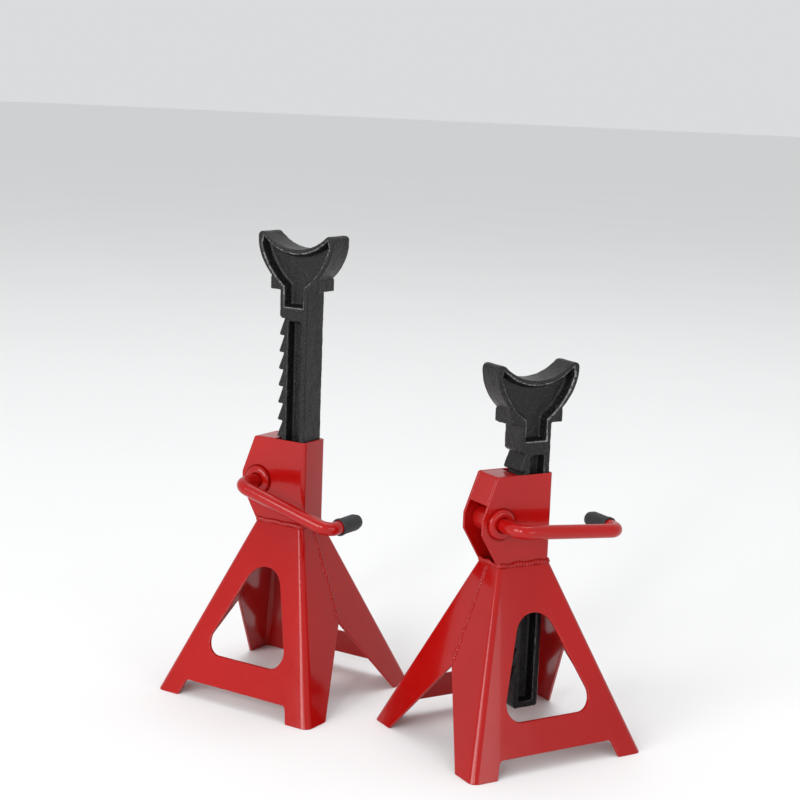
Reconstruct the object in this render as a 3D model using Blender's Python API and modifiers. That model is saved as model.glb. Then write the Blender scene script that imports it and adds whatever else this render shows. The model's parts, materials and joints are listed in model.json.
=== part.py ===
"""A pair of ratcheting axle stands: one with its column raised, one with it lowered.

Each stand is a pyramid of two pressed leg frames welded edge to edge, a folded housing on top of it,
a cast toothed column that slides in the housing, and a bar handle that carries the pawl.
Lengths are in metres and angles in degrees. In a stand's own frame +Z is up, the nose of the housing
and the teeth face -X, and the handle comes out of the -Y cheek.
"""

import math
from collections import namedtuple

import bmesh
import bpy
from mathutils import Matrix, Vector

# Clearances.
FACE_GAP = 0.0003  # between fixed pieces that lie face to face
RUN_GAP = 0.0003  # between the column and the housing's walls
TURN_GAP = 0.0004  # around the bar, where it turns or is pinned

# Sheet steel and the welds.
SHEET = 0.0025
BEAD_RADIUS = 0.0013  # the collar bead between legs and housing
SEAM_RADIUS = 0.0015  # the upright bead between the two leg frames

# Leg frames.
BASE_X = 0.153
BASE_Y = 0.148
LEG_HEIGHT = 0.140
LEG_TOP_MARGIN = 0.0006  # how far the legs' top stands outside the housing, each side
BEND_LOW = 0.0065  # bend radius at the floor
BEND_HIGH = 0.0042  # and at the top
SEAM_END = 0.064  # height where the two frames part
SEAM_START_GAP = 0.004  # plain sheet below the seam's bead
SEAM_TOP_GAP = 0.001  # and above it
COLLAR_INSET = 0.0008  # the collar bead's middle, in from the housing's faces
FOOT_INNER_Y = 0.0245  # width of a foot's side flange at the floor
FOOT_WIDTH = 0.0222  # width of a foot's face at the floor
ARCH_HEIGHT = 0.0125
ARCH_LEAN = 0.0048
ARCH_RADIUS = 0.004
WINDOW_BOTTOM = 0.035
WINDOW_HALF = 0.0423  # half width where the straight sides would meet the bottom
WINDOW_LEAN = 0.42
WINDOW_TOP_RADIUS = 0.018
WINDOW_LOW_RADIUS = 0.0115

# Cast column. Its depth runs from the tooth tips to its flat back.
COLUMN_Y = 0.0234
COLUMN_DEPTH = 0.0267
TOOTH_DEPTH = 0.0048
TOOTH_PITCH = 0.01378
TOOTH_TIP_LAND = 0.0010
TAIL = 0.0210  # plain length under the last tooth
FLOOR_CLEAR = 0.008  # under the column at its lowest setting
GROOVE_FLANGE = 0.0040
GROOVE_BACK_FLANGE = 0.0050
POCKET_DEPTH = 0.0080
POCKET_DRAFT = 0.0022
GROOVE_DRAFT = 0.0010
GROOVE_END = 0.005  # solid length under the groove
GROOVE_RADIUS = 0.002
COLLAR_RIB = 0.0015  # solid height between the groove and the collar's lower edge
COLLAR_CHAMFER = 0.002
FOOT_CHAMFER = 0.0015
CAST_EDGE = 0.0005

# Saddle and neck, measured up from the collar's lower edge and out from the column's middle.
LUG_BOTTOM = 0.0225
LUG_TOP = 0.0330
LUG_HALF = 0.0230
LUG_STEP = 0.0010  # how far the flank starts inside the lug
FLANK_PULL = 0.0460  # height that the flank leans out towards
FLANK_TOP = 0.0615
HORN_HALF = 0.0364
HORN_TOP = 0.0678
HORN_RADIUS = 0.0040
HORN_TURN = 100
TROUGH_BOTTOM = 0.0553
TROUGH_RADIUS = 0.044
TROUGH_HALF = 0.0300
TROUGH_FLAT = 0.00375  # half width of the flat along the trough's middle
RIM = 0.0036
POCKET_BOTTOM = 0.009
POCKET_NECK = 0.0095
POCKET_SHOULDER = 0.0255
POCKET_PULL = (0.0270, 0.0380)
POCKET_CORNER = 0.0585
POCKET_CORNER_RADIUS = 0.0016

# Housing.
HOUSING_X = 0.0463
HOUSING_RISE = 0.070  # housing's top above the legs' top
INNER_BEND = 0.0006  # inside radius of the folds beside the back wall
SHELF_GAP = 0.0014  # between the shelf's edge and the tooth tips
CHEEK_FRONT_REACH = 0.0043  # top front corner of a cheek, ahead of the pivot
NOSE_REACH = 0.0162  # nose ahead of the pivot
NOSE_HIGH = 0.0310  # nose corners below the housing's top
NOSE_LOW = 0.0435
NOSE_RADIUS = 0.002
CHEEK_FOOT_X = -0.0240
PLATE_DROP = 0.0214  # how far the front plate comes down

# Handle and pawl.
PIVOT_REACH = 0.0161  # pivot ahead of the tooth tips
PIVOT_DROP = 0.036  # pivot below the housing's top
CATCH_RISE = 0.0239  # caught tooth's underside above the pivot
HUB_RADIUS = 0.0095
HUB_SINK = 0.0010  # how far the arm's corners lie inside the hub
PAWL_Y = 0.018
PAWL_BITE = 0.00235  # how far its tip reaches past the tooth tips
PAWL_ELBOW = (0.00365, 0.0111)  # back of the arm, in and down from its tip
PAWL_ELBOW_RADIUS = 0.002
PAWL_TIP_WIDTH = 0.0080
PAWL_TIP_SLOPE = 0.0007
PAWL_SEAT_GAP = 0.0006
PAWL_TIP_RADIUS = 0.0012
PIN_RADIUS = 0.0020
PIN_Y = -0.004
BAR_RADIUS = 0.0054
BAR_BEND = 0.010
BAR_END = 0.0015  # how far the bar stands out of the far cheek
ARM_OUT = 0.0253  # distance of the arm from the near cheek
ARM_LENGTH = 0.0918
BOSS_RADIUS = 0.0125
BOSS_THICKNESS = 0.0024
BOSS_ROUND = 0.0008
GRIP_LENGTH = 0.0275
GRIP_RADIUS = 0.0070
GRIP_CAP = 0.0018
GRIP_BARE = 0.0040  # bare bar between the bend and the grip
GRIP_ROUND = 0.0010

# Each stand's name, its place and turn on the floor, its detent, and how far its handle droops.
Stand = namedtuple("Stand", "name place turn detent droop")
STANDS = (
    Stand("left", (0.0, 0.0), 0.0, 7, 14.5),
    Stand("right", (0.2016, 0.0149), 62.4, 1, 4.5),
)

# Sizes that follow from those above.
HOUSING_TOP = LEG_HEIGHT + HOUSING_RISE
HOUSING_Y = COLUMN_Y + 2 * (RUN_GAP + SHEET)
HOUSING_BEND = SHEET + INNER_BEND
COLUMN_BACK = HOUSING_X / 2 - SHEET - RUN_GAP
COLUMN_MIDDLE = COLUMN_BACK - COLUMN_DEPTH / 2
TIP_X = COLUMN_BACK - COLUMN_DEPTH
ROOT_X = TIP_X + TOOTH_DEPTH
PIVOT_X = TIP_X - PIVOT_REACH
PIVOT_Z = HOUSING_TOP - PIVOT_DROP
CATCH_Z = PIVOT_Z + CATCH_RISE
TEETH = int((CATCH_Z + TOOTH_PITCH - TAIL - FLOOR_CLEAR) / TOOTH_PITCH)
COLUMN_DOWN = TEETH * TOOTH_PITCH + TAIL
HOUSING_BOTTOM = LEG_HEIGHT + 2 * (BEAD_RADIUS + FACE_GAP)
LEG_TOP_X = HOUSING_X + 2 * LEG_TOP_MARGIN
LEG_TOP_Y = HOUSING_Y + 2 * LEG_TOP_MARGIN
BORE_RADIUS = BAR_RADIUS + TURN_GAP
PAWL_TIP = (PIVOT_REACH + PAWL_BITE, CATCH_RISE - PAWL_SEAT_GAP)
ARM_Y = HOUSING_Y / 2 + ARM_OUT
CROSS_END_Y = BAR_BEND + GRIP_BARE + GRIP_LENGTH - ARM_Y

PAINTS = {
    "leg_frame": ((0.60, 0.018, 0.014), 0.24, 0.0),
    "housing": ((0.60, 0.018, 0.014), 0.26, 0.0),
    "front_plate": ((0.60, 0.018, 0.014), 0.26, 0.0),
    "weld": ((0.55, 0.016, 0.013), 0.32, 0.0),
    "boss": ((0.60, 0.018, 0.014), 0.26, 0.0),
    "bar": ((0.60, 0.020, 0.015), 0.22, 0.0),
    "pawl": ((0.55, 0.018, 0.014), 0.30, 0.0),
    "pin": ((0.25, 0.02, 0.02), 0.40, 0.5),
    "column": ((0.012, 0.012, 0.013), 0.50, 0.2),
    "grip": ((0.015, 0.015, 0.016), 0.75, 0.0),
}


# ---------------------------------------------------------------- scene helpers


def clear_scene():
    """Remove every object that the file opened with."""
    for obj in list(bpy.data.objects):
        bpy.data.objects.remove(obj, do_unlink=True)


def new_collection(name, hidden=False):
    """Add a collection to the scene."""
    group = bpy.data.collections.new(name)
    group.hide_render = hidden
    bpy.context.scene.collection.children.link(group)
    return group


def make_paints():
    """One Principled material for each kind of sub-part."""
    made = {}
    for name, (colour, roughness, metallic) in PAINTS.items():
        paint = bpy.data.materials.new(name)
        paint.use_nodes = True
        shader = paint.node_tree.nodes["Principled BSDF"]
        shader.inputs["Base Color"].default_value = (*colour, 1.0)
        shader.inputs["Roughness"].default_value = roughness
        shader.inputs["Metallic"].default_value = metallic
        made[name] = paint
    return made


class Bench:
    """Where one stand's pieces are put: its collections, its empty and the name it gives them."""

    def __init__(self, parts, cutters, paints, stand, root):
        self.parts = parts
        self.cutters = cutters
        self.paints = paints
        self.stand = stand
        self.root = root

    def place(self, obj, at=(0, 0, 0)):
        """Parent an object to the stand with its origin at a point of the stand's frame."""
        obj.parent = self.root
        obj.location = at
        return obj

    def part(self, name, mesh, paint, at=(0, 0, 0)):
        """A visible sub-part."""
        obj = bpy.data.objects.new(f"{self.stand}_{name}", mesh)
        obj.data.materials.append(self.paints[paint])
        self.parts.objects.link(obj)
        return self.place(obj, at)

    def cutter(self, name, mesh, at=(0, 0, 0)):
        """A hidden helper that a Boolean takes away."""
        obj = bpy.data.objects.new(f"{self.stand}_{name}", mesh)
        obj.hide_render = True
        obj.display_type = "WIRE"
        self.cutters.objects.link(obj)
        return self.place(obj, at)


def combine(obj, other, operation="DIFFERENCE"):
    """Add a Boolean modifier."""
    step = obj.modifiers.new(other.name, "BOOLEAN")
    step.operation = operation
    step.solver = "EXACT"
    step.object = other


def soften(obj, width, segments=1, angle=40):
    """Add a Bevel modifier to the sharp edges."""
    step = obj.modifiers.new("edges", "BEVEL")
    step.width = width
    step.segments = segments
    step.limit_method = "ANGLE"
    step.angle_limit = math.radians(angle)
    step.use_clamp_overlap = True


# ---------------------------------------------------------------- outlines and solids


def arc(centre, radius, start, end, steps):
    """Points along an arc, from one angle to another in degrees."""
    angles = [math.radians(start + (end - start) * i / steps) for i in range(steps + 1)]
    return [(centre[0] + radius * math.cos(a), centre[1] + radius * math.sin(a)) for a in angles]


def curve_through(start, pull, end, steps):
    """Points of the parabola that leaves start towards pull and arrives at end from it."""
    found = []
    for i in range(steps + 1):
        t = i / steps
        weights = ((1 - t) ** 2, 2 * t * (1 - t), t * t)
        found.append(tuple(sum(w * p[k] for w, p in zip(weights, (start, pull, end))) for k in (0, 1)))
    return found


def rounded(corners, steps=4):
    """An outline of (x, y, radius) corners with each corner replaced by an arc of its radius."""
    outline = []
    for i, (x, y, radius) in enumerate(corners):
        here = Vector((x, y))
        before = (Vector(corners[i - 1][:2]) - here).normalized()
        after = (Vector(corners[(i + 1) % len(corners)][:2]) - here).normalized()
        if radius <= 0:
            outline.append((x, y))
            continue
        half = before.angle(after) / 2
        centre = here + (before + after).normalized() * (radius / math.sin(half))
        first = here + before * (radius / math.tan(half)) - centre
        turn = first.angle_signed(here + after * (radius / math.tan(half)) - centre)
        for k in range(steps + 1):
            spoke = first.copy()
            spoke.rotate(Matrix.Rotation(-turn * k / steps, 2))
            outline.append(tuple(centre + spoke))
    return outline


def inset(outline, distance):
    """The same outline drawn in by a distance, for outlines that run counter-clockwise."""
    moved = []
    count = len(outline)
    for i, point in enumerate(outline):
        here = Vector(point)
        back = (here - Vector(outline[i - 1])).normalized()
        ahead = (Vector(outline[(i + 1) % count]) - here).normalized()
        normal = (Vector((-back.y, back.x)) + Vector((-ahead.y, ahead.x))).normalized()
        reach = distance / max(0.4, normal.dot(Vector((-ahead.y, ahead.x))))
        moved.append(tuple(here + normal * reach))
    return moved


def loft(name, rings):
    """A closed solid through rings of equally many points, with its two ends capped."""
    work = bmesh.new()
    rows = [[work.verts.new(point) for point in ring] for ring in rings]
    for low, high in zip(rows, rows[1:]):
        for i in range(len(low)):
            j = (i + 1) % len(low)
            work.faces.new((low[i], low[j], high[j], high[i]))
    work.faces.new(rows[0])
    work.faces.new(rows[-1])
    bmesh.ops.recalc_face_normals(work, faces=work.faces)
    mesh = bpy.data.meshes.new(name)
    work.to_mesh(mesh)
    work.free()
    return mesh


def prism(name, outline, low, high, axis="Y"):
    """A flat outline drawn out from low to high along X, Y or Z, as a closed solid."""
    work = bmesh.new()
    stand_up = {"X": along_x, "Y": along_y, "Z": along_z}[axis]
    face = work.faces.new([work.verts.new(point) for point in stand_up(outline, low)])
    grown = bmesh.ops.extrude_face_region(work, geom=[face])["geom"]
    moved = [item for item in grown if isinstance(item, bmesh.types.BMVert)]
    step = {"X": (high - low, 0, 0), "Y": (0, high - low, 0), "Z": (0, 0, high - low)}[axis]
    bmesh.ops.translate(work, vec=step, verts=moved)
    bmesh.ops.recalc_face_normals(work, faces=work.faces)
    mesh = bpy.data.meshes.new(name)
    work.to_mesh(mesh)
    work.free()
    return mesh


def along_y(outline, y):
    """Place an (x, z) outline on the plane of one y."""
    return [(x, y, z) for x, z in outline]


def along_x(outline, x):
    """Place a (y, z) outline on the plane of one x."""
    return [(x, y, z) for y, z in outline]


def along_z(outline, z):
    """Place an (x, y) outline on the plane of one z."""
    return [(x, y, z) for x, y in outline]


def cylinder(name, radius, low, high, axis="Y", sides=24):
    """A cylinder from low to high along an axis through the origin."""
    work = bmesh.new()
    bmesh.ops.create_cone(
        work, cap_ends=True, segments=sides, radius1=radius, radius2=radius, depth=high - low
    )
    bmesh.ops.translate(work, vec=(0, 0, (low + high) / 2), verts=work.verts)
    if axis == "Y":
        bmesh.ops.rotate(work, matrix=Matrix.Rotation(math.radians(-90), 3, "X"), verts=work.verts)
    if axis == "X":
        bmesh.ops.rotate(work, matrix=Matrix.Rotation(math.radians(90), 3, "Y"), verts=work.verts)
    mesh = bpy.data.meshes.new(name)
    work.to_mesh(mesh)
    work.free()
    return smooth(mesh)


def smooth(mesh, angle=35):
    """Shade the round faces smooth and keep the sharp edges."""
    mesh.shade_smooth()
    mesh.set_sharp_from_angle(angle=math.radians(angle))
    return mesh


def tube(name, points, radius, sides_level, cyclic=False):
    """A round bar along a path, as a mesh with its caps welded on."""
    path = bpy.data.curves.new(name, "CURVE")
    path.dimensions = "3D"
    path.bevel_depth = radius
    path.bevel_resolution = sides_level
    path.use_fill_caps = not cyclic
    line = path.splines.new("POLY")
    line.points.add(len(points) - 1)
    for knot, point in zip(line.points, points):
        knot.co = (*point, 1.0)
    line.use_cyclic_u = cyclic
    holder = bpy.data.objects.new(name, path)
    bpy.context.scene.collection.objects.link(holder)
    seen = holder.evaluated_get(bpy.context.evaluated_depsgraph_get())
    mesh = bpy.data.meshes.new_from_object(seen)
    bpy.data.objects.remove(holder, do_unlink=True)
    work = bmesh.new()
    work.from_mesh(mesh)
    bmesh.ops.remove_doubles(work, verts=work.verts, dist=1e-6)
    bmesh.ops.recalc_face_normals(work, faces=work.faces)
    work.to_mesh(mesh)
    work.free()
    return smooth(mesh)


# ---------------------------------------------------------------- leg frames


def leg_section(half_x, half_y, bend, wall_x, wall_y, seam):
    """Plan section of a leg frame: a face at -half_y with a flange running back to the seam at each end."""
    inner_x, inner_y = bend - wall_x, bend - wall_y
    outer, inner = [(-half_x, -seam)], [(-half_x + wall_x, -seam)]
    for side, start, end in ((-1, 180, 270), (1, 270, 360)):
        centre = (side * (half_x - bend), -half_y + bend)
        for i in range(6):
            angle = math.radians(start + (end - start) * i / 5)
            ray = (math.cos(angle), math.sin(angle))
            outer.append((centre[0] + bend * ray[0], centre[1] + bend * ray[1]))
            inner.append((centre[0] + inner_x * ray[0], centre[1] + inner_y * ray[1]))
    outer.append((half_x, -seam))
    inner.append((half_x - wall_x, -seam))
    return outer + inner[::-1]


def leg_mesh():
    """The pressed sheet before its openings are cut: one section at the floor and one at the top."""
    lean_x = (BASE_X - LEG_TOP_X) / 2 / LEG_HEIGHT
    lean_y = (BASE_Y - LEG_TOP_Y) / 2 / LEG_HEIGHT
    wall_x = SHEET * math.hypot(1, lean_x)
    wall_y = SHEET * math.hypot(1, lean_y)
    seam = SEAM_RADIUS + FACE_GAP
    low = leg_section(BASE_X / 2, BASE_Y / 2, BEND_LOW, wall_x, wall_y, seam)
    high = leg_section(LEG_TOP_X / 2, LEG_TOP_Y / 2, BEND_HIGH, wall_x, wall_y, seam)
    return smooth(loft("leg_frame", [along_z(low, 0), along_z(high, LEG_HEIGHT)]), 25)


def window_outline():
    """The face's triangular window with its three round corners."""
    peak = WINDOW_BOTTOM + WINDOW_HALF / WINDOW_LEAN
    corners = (
        (-WINDOW_HALF, WINDOW_BOTTOM, WINDOW_LOW_RADIUS),
        (WINDOW_HALF, WINDOW_BOTTOM, WINDOW_LOW_RADIUS),
        (0, peak, WINDOW_TOP_RADIUS),
    )
    return rounded(corners, steps=8)


def arch_outline():
    """The low arch that leaves a foot at each end of the face."""
    inner = BASE_X / 2 - FOOT_WIDTH
    below = -0.01
    corners = (
        (-inner - ARCH_LEAN * below / -ARCH_HEIGHT, below, 0),
        (inner + ARCH_LEAN * below / -ARCH_HEIGHT, below, 0),
        (inner - ARCH_LEAN, ARCH_HEIGHT, ARCH_RADIUS),
        (-inner + ARCH_LEAN, ARCH_HEIGHT, ARCH_RADIUS),
    )
    return rounded(corners)


def flange_gap_outline():
    """The half of the inverted V between two feet, on one frame's side of the seam."""
    foot = -(BASE_Y / 2 - FOOT_INNER_Y)
    slope = foot / SEAM_END
    below = -0.01
    past = 0.01
    return [
        (foot + slope * -below, below),
        (past, below),
        (past, SEAM_END),
        (0, SEAM_END),
    ]


def build_leg_frames(bench):
    """The two frames, the far one being the near one turned half round."""
    mesh = leg_mesh()
    shapes = (
        ("window", prism("window", window_outline(), -BASE_Y, 0)),
        ("arch", prism("arch", arch_outline(), -BASE_Y, 0)),
        ("flange_gap", prism("flange_gap", flange_gap_outline(), -BASE_X, BASE_X, "X")),
    )
    for side, turn in (("near", 0.0), ("far", math.pi)):
        frame = bench.part(f"leg_frame_{side}", mesh, "leg_frame")
        frame.rotation_euler.z = turn
        for name, shape in shapes:
            cutter = bench.cutter(f"cut_{name}_{side}", shape)
            cutter.rotation_euler.z = turn
            combine(frame, cutter)


def build_welds(bench):
    """The upright bead on each side seam, and the collar bead between legs and housing."""
    lean = (BASE_X - LEG_TOP_X) / 2 / LEG_HEIGHT
    for name, side in (("nose", -1), ("back", 1)):
        ends = (SEAM_END + SEAM_START_GAP, LEG_HEIGHT - SEAM_TOP_GAP)
        points = [(side * (BASE_X / 2 - lean * z - SEAM_RADIUS / 2), 0, z) for z in ends]
        bench.part(f"weld_seam_{name}", tube("weld_seam", points, SEAM_RADIUS, 3), "weld")
    half_x = HOUSING_X / 2 - COLLAR_INSET
    half_y = HOUSING_Y / 2 - COLLAR_INSET
    corners = [(x, y, HOUSING_BEND - COLLAR_INSET) for x, y in rectangle(half_x, half_y)]
    ring = along_z(rounded(corners, steps=3), LEG_HEIGHT + BEAD_RADIUS + FACE_GAP)
    bench.part("weld_collar", tube("weld_collar", ring, BEAD_RADIUS, 2, cyclic=True), "weld")


def rectangle(half_x, half_y):
    """Corners of a rectangle about the origin, counter-clockwise."""
    return ((-half_x, -half_y), (half_x, -half_y), (half_x, half_y), (-half_x, half_y))


# ---------------------------------------------------------------- housing


def housing_section():
    """Plan section of the folded shell: a back wall and two cheeks that run on past the nose."""
    half = HOUSING_Y / 2
    back = HOUSING_X / 2
    front = PIVOT_X - 2 * NOSE_REACH
    outer = rounded([(back, -half, HOUSING_BEND), (back, half, HOUSING_BEND), (front, half, 0)])
    inner = rounded(
        [
            (back - SHEET, half - SHEET, INNER_BEND),
            (back - SHEET, SHEET - half, INNER_BEND),
            (front, SHEET - half, 0),
            (front, half - SHEET, 0),
        ]
    )
    turn = len(inner) - 1
    return outer[:-1] + [(front, half)] + [inner[turn]] + inner[:turn] + [(front, -half)]


def cheek_outline():
    """Side outline of the housing, with the nose that carries the pivot."""
    beyond = HOUSING_X
    return rounded(
        [
            (CHEEK_FOOT_X, HOUSING_BOTTOM, 0),
            (beyond, HOUSING_BOTTOM, 0),
            (beyond, HOUSING_TOP, 0),
            (PIVOT_X - CHEEK_FRONT_REACH, HOUSING_TOP, NOSE_RADIUS),
            (PIVOT_X - NOSE_REACH, HOUSING_TOP - NOSE_HIGH, NOSE_RADIUS),
            (PIVOT_X - NOSE_REACH, HOUSING_TOP - NOSE_LOW, NOSE_RADIUS),
        ]
    )


def build_housing(bench):
    """The folded shell, trimmed to its side outline and bored in both cheeks for the bar."""
    shell = prism("housing", housing_section(), HOUSING_BOTTOM - SHEET, HOUSING_TOP + SHEET, "Z")
    housing = bench.part("housing", smooth(shell, 25), "housing")
    side = prism("cheek", cheek_outline(), -HOUSING_Y, HOUSING_Y)
    combine(housing, bench.cutter("keep_cheeks", side), "INTERSECT")
    bore = cylinder("bar_bore", BORE_RADIUS, -HOUSING_Y, HOUSING_Y)
    combine(housing, bench.cutter("cut_bar_bore", bore, (PIVOT_X, 0, PIVOT_Z)))


def front_plate_outline():
    """Side outline of the bent plate: a level shelf, then a leg along the cheeks' front edges."""
    top, corner = HOUSING_TOP, PIVOT_X - CHEEK_FRONT_REACH
    nose = PIVOT_X - NOSE_REACH
    lean = (corner - nose) / NOSE_HIGH
    low = top - PLATE_DROP
    wall = SHEET * math.hypot(1, lean)
    shelf_end = TIP_X - SHELF_GAP
    return rounded(
        [
            (corner - lean * PLATE_DROP, low, 0),
            (corner - lean * PLATE_DROP + wall, low, 0),
            (corner - lean * SHEET + wall, top - SHEET, INNER_BEND),
            (shelf_end, top - SHEET, 0),
            (shelf_end, top, 0),
            (corner, top, NOSE_RADIUS),
        ]
    )


def build_front_plate(bench):
    """The plate that closes the housing above the pawl."""
    half = HOUSING_Y / 2 - SHEET - FACE_GAP
    bench.part("front_plate", prism("front_plate", front_plate_outline(), -half, half), "front_plate")


def build_boss(bench):
    """The ring around the bar on the near cheek."""
    outer = -HOUSING_Y / 2 - FACE_GAP
    ring = cylinder("boss", BOSS_RADIUS, outer - BOSS_THICKNESS, outer, sides=32)
    boss = bench.part("pivot_boss", ring, "boss", (PIVOT_X, 0, PIVOT_Z))
    soften(boss, BOSS_ROUND, segments=2)
    bore = cylinder("boss_bore", BORE_RADIUS, -HOUSING_Y, 0)
    combine(boss, bench.cutter("cut_boss_bore", bore, (PIVOT_X, 0, PIVOT_Z)))


# ---------------------------------------------------------------- column and saddle


def teeth_outline():
    """The toothed side from the collar down: each tooth slopes out to its tip and is flat beneath."""
    root, tip = ROOT_X - COLUMN_MIDDLE, TIP_X - COLUMN_MIDDLE
    points = [(tip, COLLAR_CHAMFER), (tip + COLLAR_CHAMFER, 0), (root, 0)]
    for tooth in range(1, TEETH + 1):
        under = -tooth * TOOTH_PITCH
        points.append((tip, under + TOOTH_TIP_LAND))
        points.append((tip + TOOTH_TIP_LAND, under))
        points.append((root, under))
    return points


def trough_rise(x):
    """How far the trough's arc stands above its lowest point at a distance from the middle."""
    return TROUGH_RADIUS - math.sqrt(TROUGH_RADIUS**2 - x * x)


def saddle_half():
    """The saddle's outline from the lug to the flat at the middle of the trough, on the +X side."""
    lug = [(LUG_HALF, LUG_BOTTOM), (LUG_HALF, LUG_TOP)]
    start = (LUG_HALF - LUG_STEP, LUG_TOP)
    flank = curve_through(start, (HORN_HALF - LUG_STEP, FLANK_PULL), (HORN_HALF, FLANK_TOP), 7)
    tip = arc((HORN_HALF - HORN_RADIUS, HORN_TOP - HORN_RADIUS), HORN_RADIUS, 0, HORN_TURN, 4)
    steps = 7
    reach = [TROUGH_HALF + (TROUGH_FLAT - TROUGH_HALF) * i / steps for i in range(steps + 1)]
    return lug + flank + tip + [(x, TROUGH_BOTTOM + trough_rise(x)) for x in reach]


def column_outline():
    """Side outline of the casting, counter-clockwise, about its middle and the collar's lower edge."""
    back = COLUMN_BACK - COLUMN_MIDDLE
    right = saddle_half()
    left = [(-x, z) for x, z in right][::-1]
    foot = -COLUMN_DOWN
    root = ROOT_X - COLUMN_MIDDLE
    tail = [(root, foot + FOOT_CHAMFER), (root + FOOT_CHAMFER, foot)]
    start = [(back - FOOT_CHAMFER, foot), (back, foot + FOOT_CHAMFER), (back, LUG_BOTTOM)]
    front = [(TIP_X - COLUMN_MIDDLE, LUG_BOTTOM)]
    return start + right + left + front + teeth_outline() + tail


def saddle_pocket():
    """Face outline of the pocket under the trough, narrowing to the neck."""
    wide = HORN_HALF - RIM
    right = curve_through((POCKET_NECK, POCKET_SHOULDER), POCKET_PULL, (wide, POCKET_CORNER), 6)
    half_steps = 5
    reach = [(wide - POCKET_CORNER_RADIUS) * (1 - i / half_steps) for i in range(1, 2 * half_steps)]
    top = [(x, TROUGH_BOTTOM - RIM + trough_rise(x)) for x in reach]
    left = [(-x, z) for x, z in right][::-1]
    return [(-POCKET_NECK, POCKET_BOTTOM), (POCKET_NECK, POCKET_BOTTOM)] + right + top + left


def groove_outline():
    """Face outline of the long groove between the toothed flange and the back flange."""
    left = ROOT_X - COLUMN_MIDDLE + GROOVE_FLANGE
    right = COLUMN_BACK - COLUMN_MIDDLE - GROOVE_BACK_FLANGE
    low = GROOVE_END - COLUMN_DOWN
    corners = ((left, low), (right, low), (right, -COLLAR_RIB), (left, -COLLAR_RIB))
    return rounded([(*corner, GROOVE_RADIUS) for corner in corners], 2)


def recess(name, outline, draft, side):
    """A cutter that narrows with depth, from outside the face in."""
    face = side * COLUMN_Y / 2
    beyond = 0.002
    widened = inset(outline, -draft * beyond / POCKET_DEPTH)
    floor = inset(outline, draft)
    return loft(name, [along_y(widened, face + side * beyond), along_y(floor, face - side * POCKET_DEPTH)])


def build_column(bench, detent):
    """The casting, set at one detent: its origin is on the slide's axis at the collar's lower edge."""
    at = (COLUMN_MIDDLE, 0, CATCH_Z + TOOTH_PITCH * (detent + 1))
    blank = prism("column", column_outline(), -COLUMN_Y / 2, COLUMN_Y / 2)
    column = bench.part("column", smooth(blank, 25), "column", at)
    for side, label in ((-1, "near"), (1, "far")):
        pocket = recess("pocket", saddle_pocket(), POCKET_DRAFT, side)
        groove = recess("groove", groove_outline(), GROOVE_DRAFT, side)
        combine(column, bench.cutter(f"cut_pocket_{label}", pocket, at))
        combine(column, bench.cutter(f"cut_groove_{label}", groove, at))
    soften(column, CAST_EDGE)


# ---------------------------------------------------------------- handle and pawl


def pawl_outline():
    """Side outline of the pawl's arm about the pivot; its rounded tip lies under a tooth."""
    reach, top = PAWL_TIP
    spoke = HUB_RADIUS - HUB_SINK
    inside = [math.radians(angle) for angle in (142, 270, 3)]
    root = [(spoke * math.cos(a), spoke * math.sin(a), 0) for a in inside]
    return rounded(
        [
            *root,
            (reach - PAWL_ELBOW[0], top - PAWL_ELBOW[1], PAWL_ELBOW_RADIUS),
            (reach, top, PAWL_TIP_RADIUS),
            (reach - PAWL_TIP_WIDTH, top - PAWL_TIP_SLOPE, PAWL_ELBOW_RADIUS),
        ]
    )


def build_pawl(bench):
    """Hub and arm in one, bored for the bar and cross-drilled for the pin."""
    at = (PIVOT_X, 0, PIVOT_Z)
    half = COLUMN_Y / 2
    pawl = bench.part("pawl", cylinder("pawl_hub", HUB_RADIUS, -half, half, sides=32), "pawl", at)
    arm = prism("pawl_arm", pawl_outline(), -PAWL_Y / 2, PAWL_Y / 2)
    combine(pawl, bench.cutter("add_pawl_arm", arm, at), "UNION")
    combine(pawl, bench.cutter("cut_pawl_bore", cylinder("bore", BORE_RADIUS, -2 * half, 2 * half), at))
    drill = cylinder("drill", PIN_RADIUS + FACE_GAP, -2 * HUB_RADIUS, 2 * HUB_RADIUS, "X", 16)
    drill.transform(Matrix.Translation((0, PIN_Y, 0)))
    combine(pawl, bench.cutter("cut_pawl_drill", drill, at))
    return drill


def bar_path(droop):
    """Middle line of the bar about the pivot: through the cheeks, along the arm, and across behind."""
    out = Vector((math.cos(math.radians(droop)), 0, -math.sin(math.radians(droop))))
    across = Vector((0, 1, 0))
    near = -across * ARM_Y
    far = near + out * ARM_LENGTH
    points = [across * (HOUSING_Y / 2 + BAR_END)]
    points += bar_bend(near, -across, out)
    points += bar_bend(far, out, across)
    points.append(far + across * (ARM_Y + CROSS_END_Y - GRIP_CAP - FACE_GAP))
    return points


def bar_bend(corner, before, after, steps=8):
    """Points of the bend that turns a bar at a square corner."""
    centre = corner - before * BAR_BEND + after * BAR_BEND
    angles = [math.pi / 2 * i / steps for i in range(steps + 1)]
    return [centre + BAR_BEND * (before * math.sin(a) - after * math.cos(a)) for a in angles]


def build_handle(bench, drill, droop):
    """The bent bar, its cross pin and its rubber grip."""
    at = (PIVOT_X, 0, PIVOT_Z)
    bar = bench.part("handle_bar", tube("handle_bar", bar_path(droop), BAR_RADIUS, 4), "bar", at)
    combine(bar, bench.cutter("cut_bar_drill", drill, at))
    pin = cylinder("roll_pin", PIN_RADIUS, -HUB_RADIUS + FACE_GAP, HUB_RADIUS - FACE_GAP, "X", 16)
    pin.transform(Matrix.Translation((0, PIN_Y, 0)))
    bench.part("roll_pin", pin, "pin", at)
    build_grip(bench, droop, at)


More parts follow.
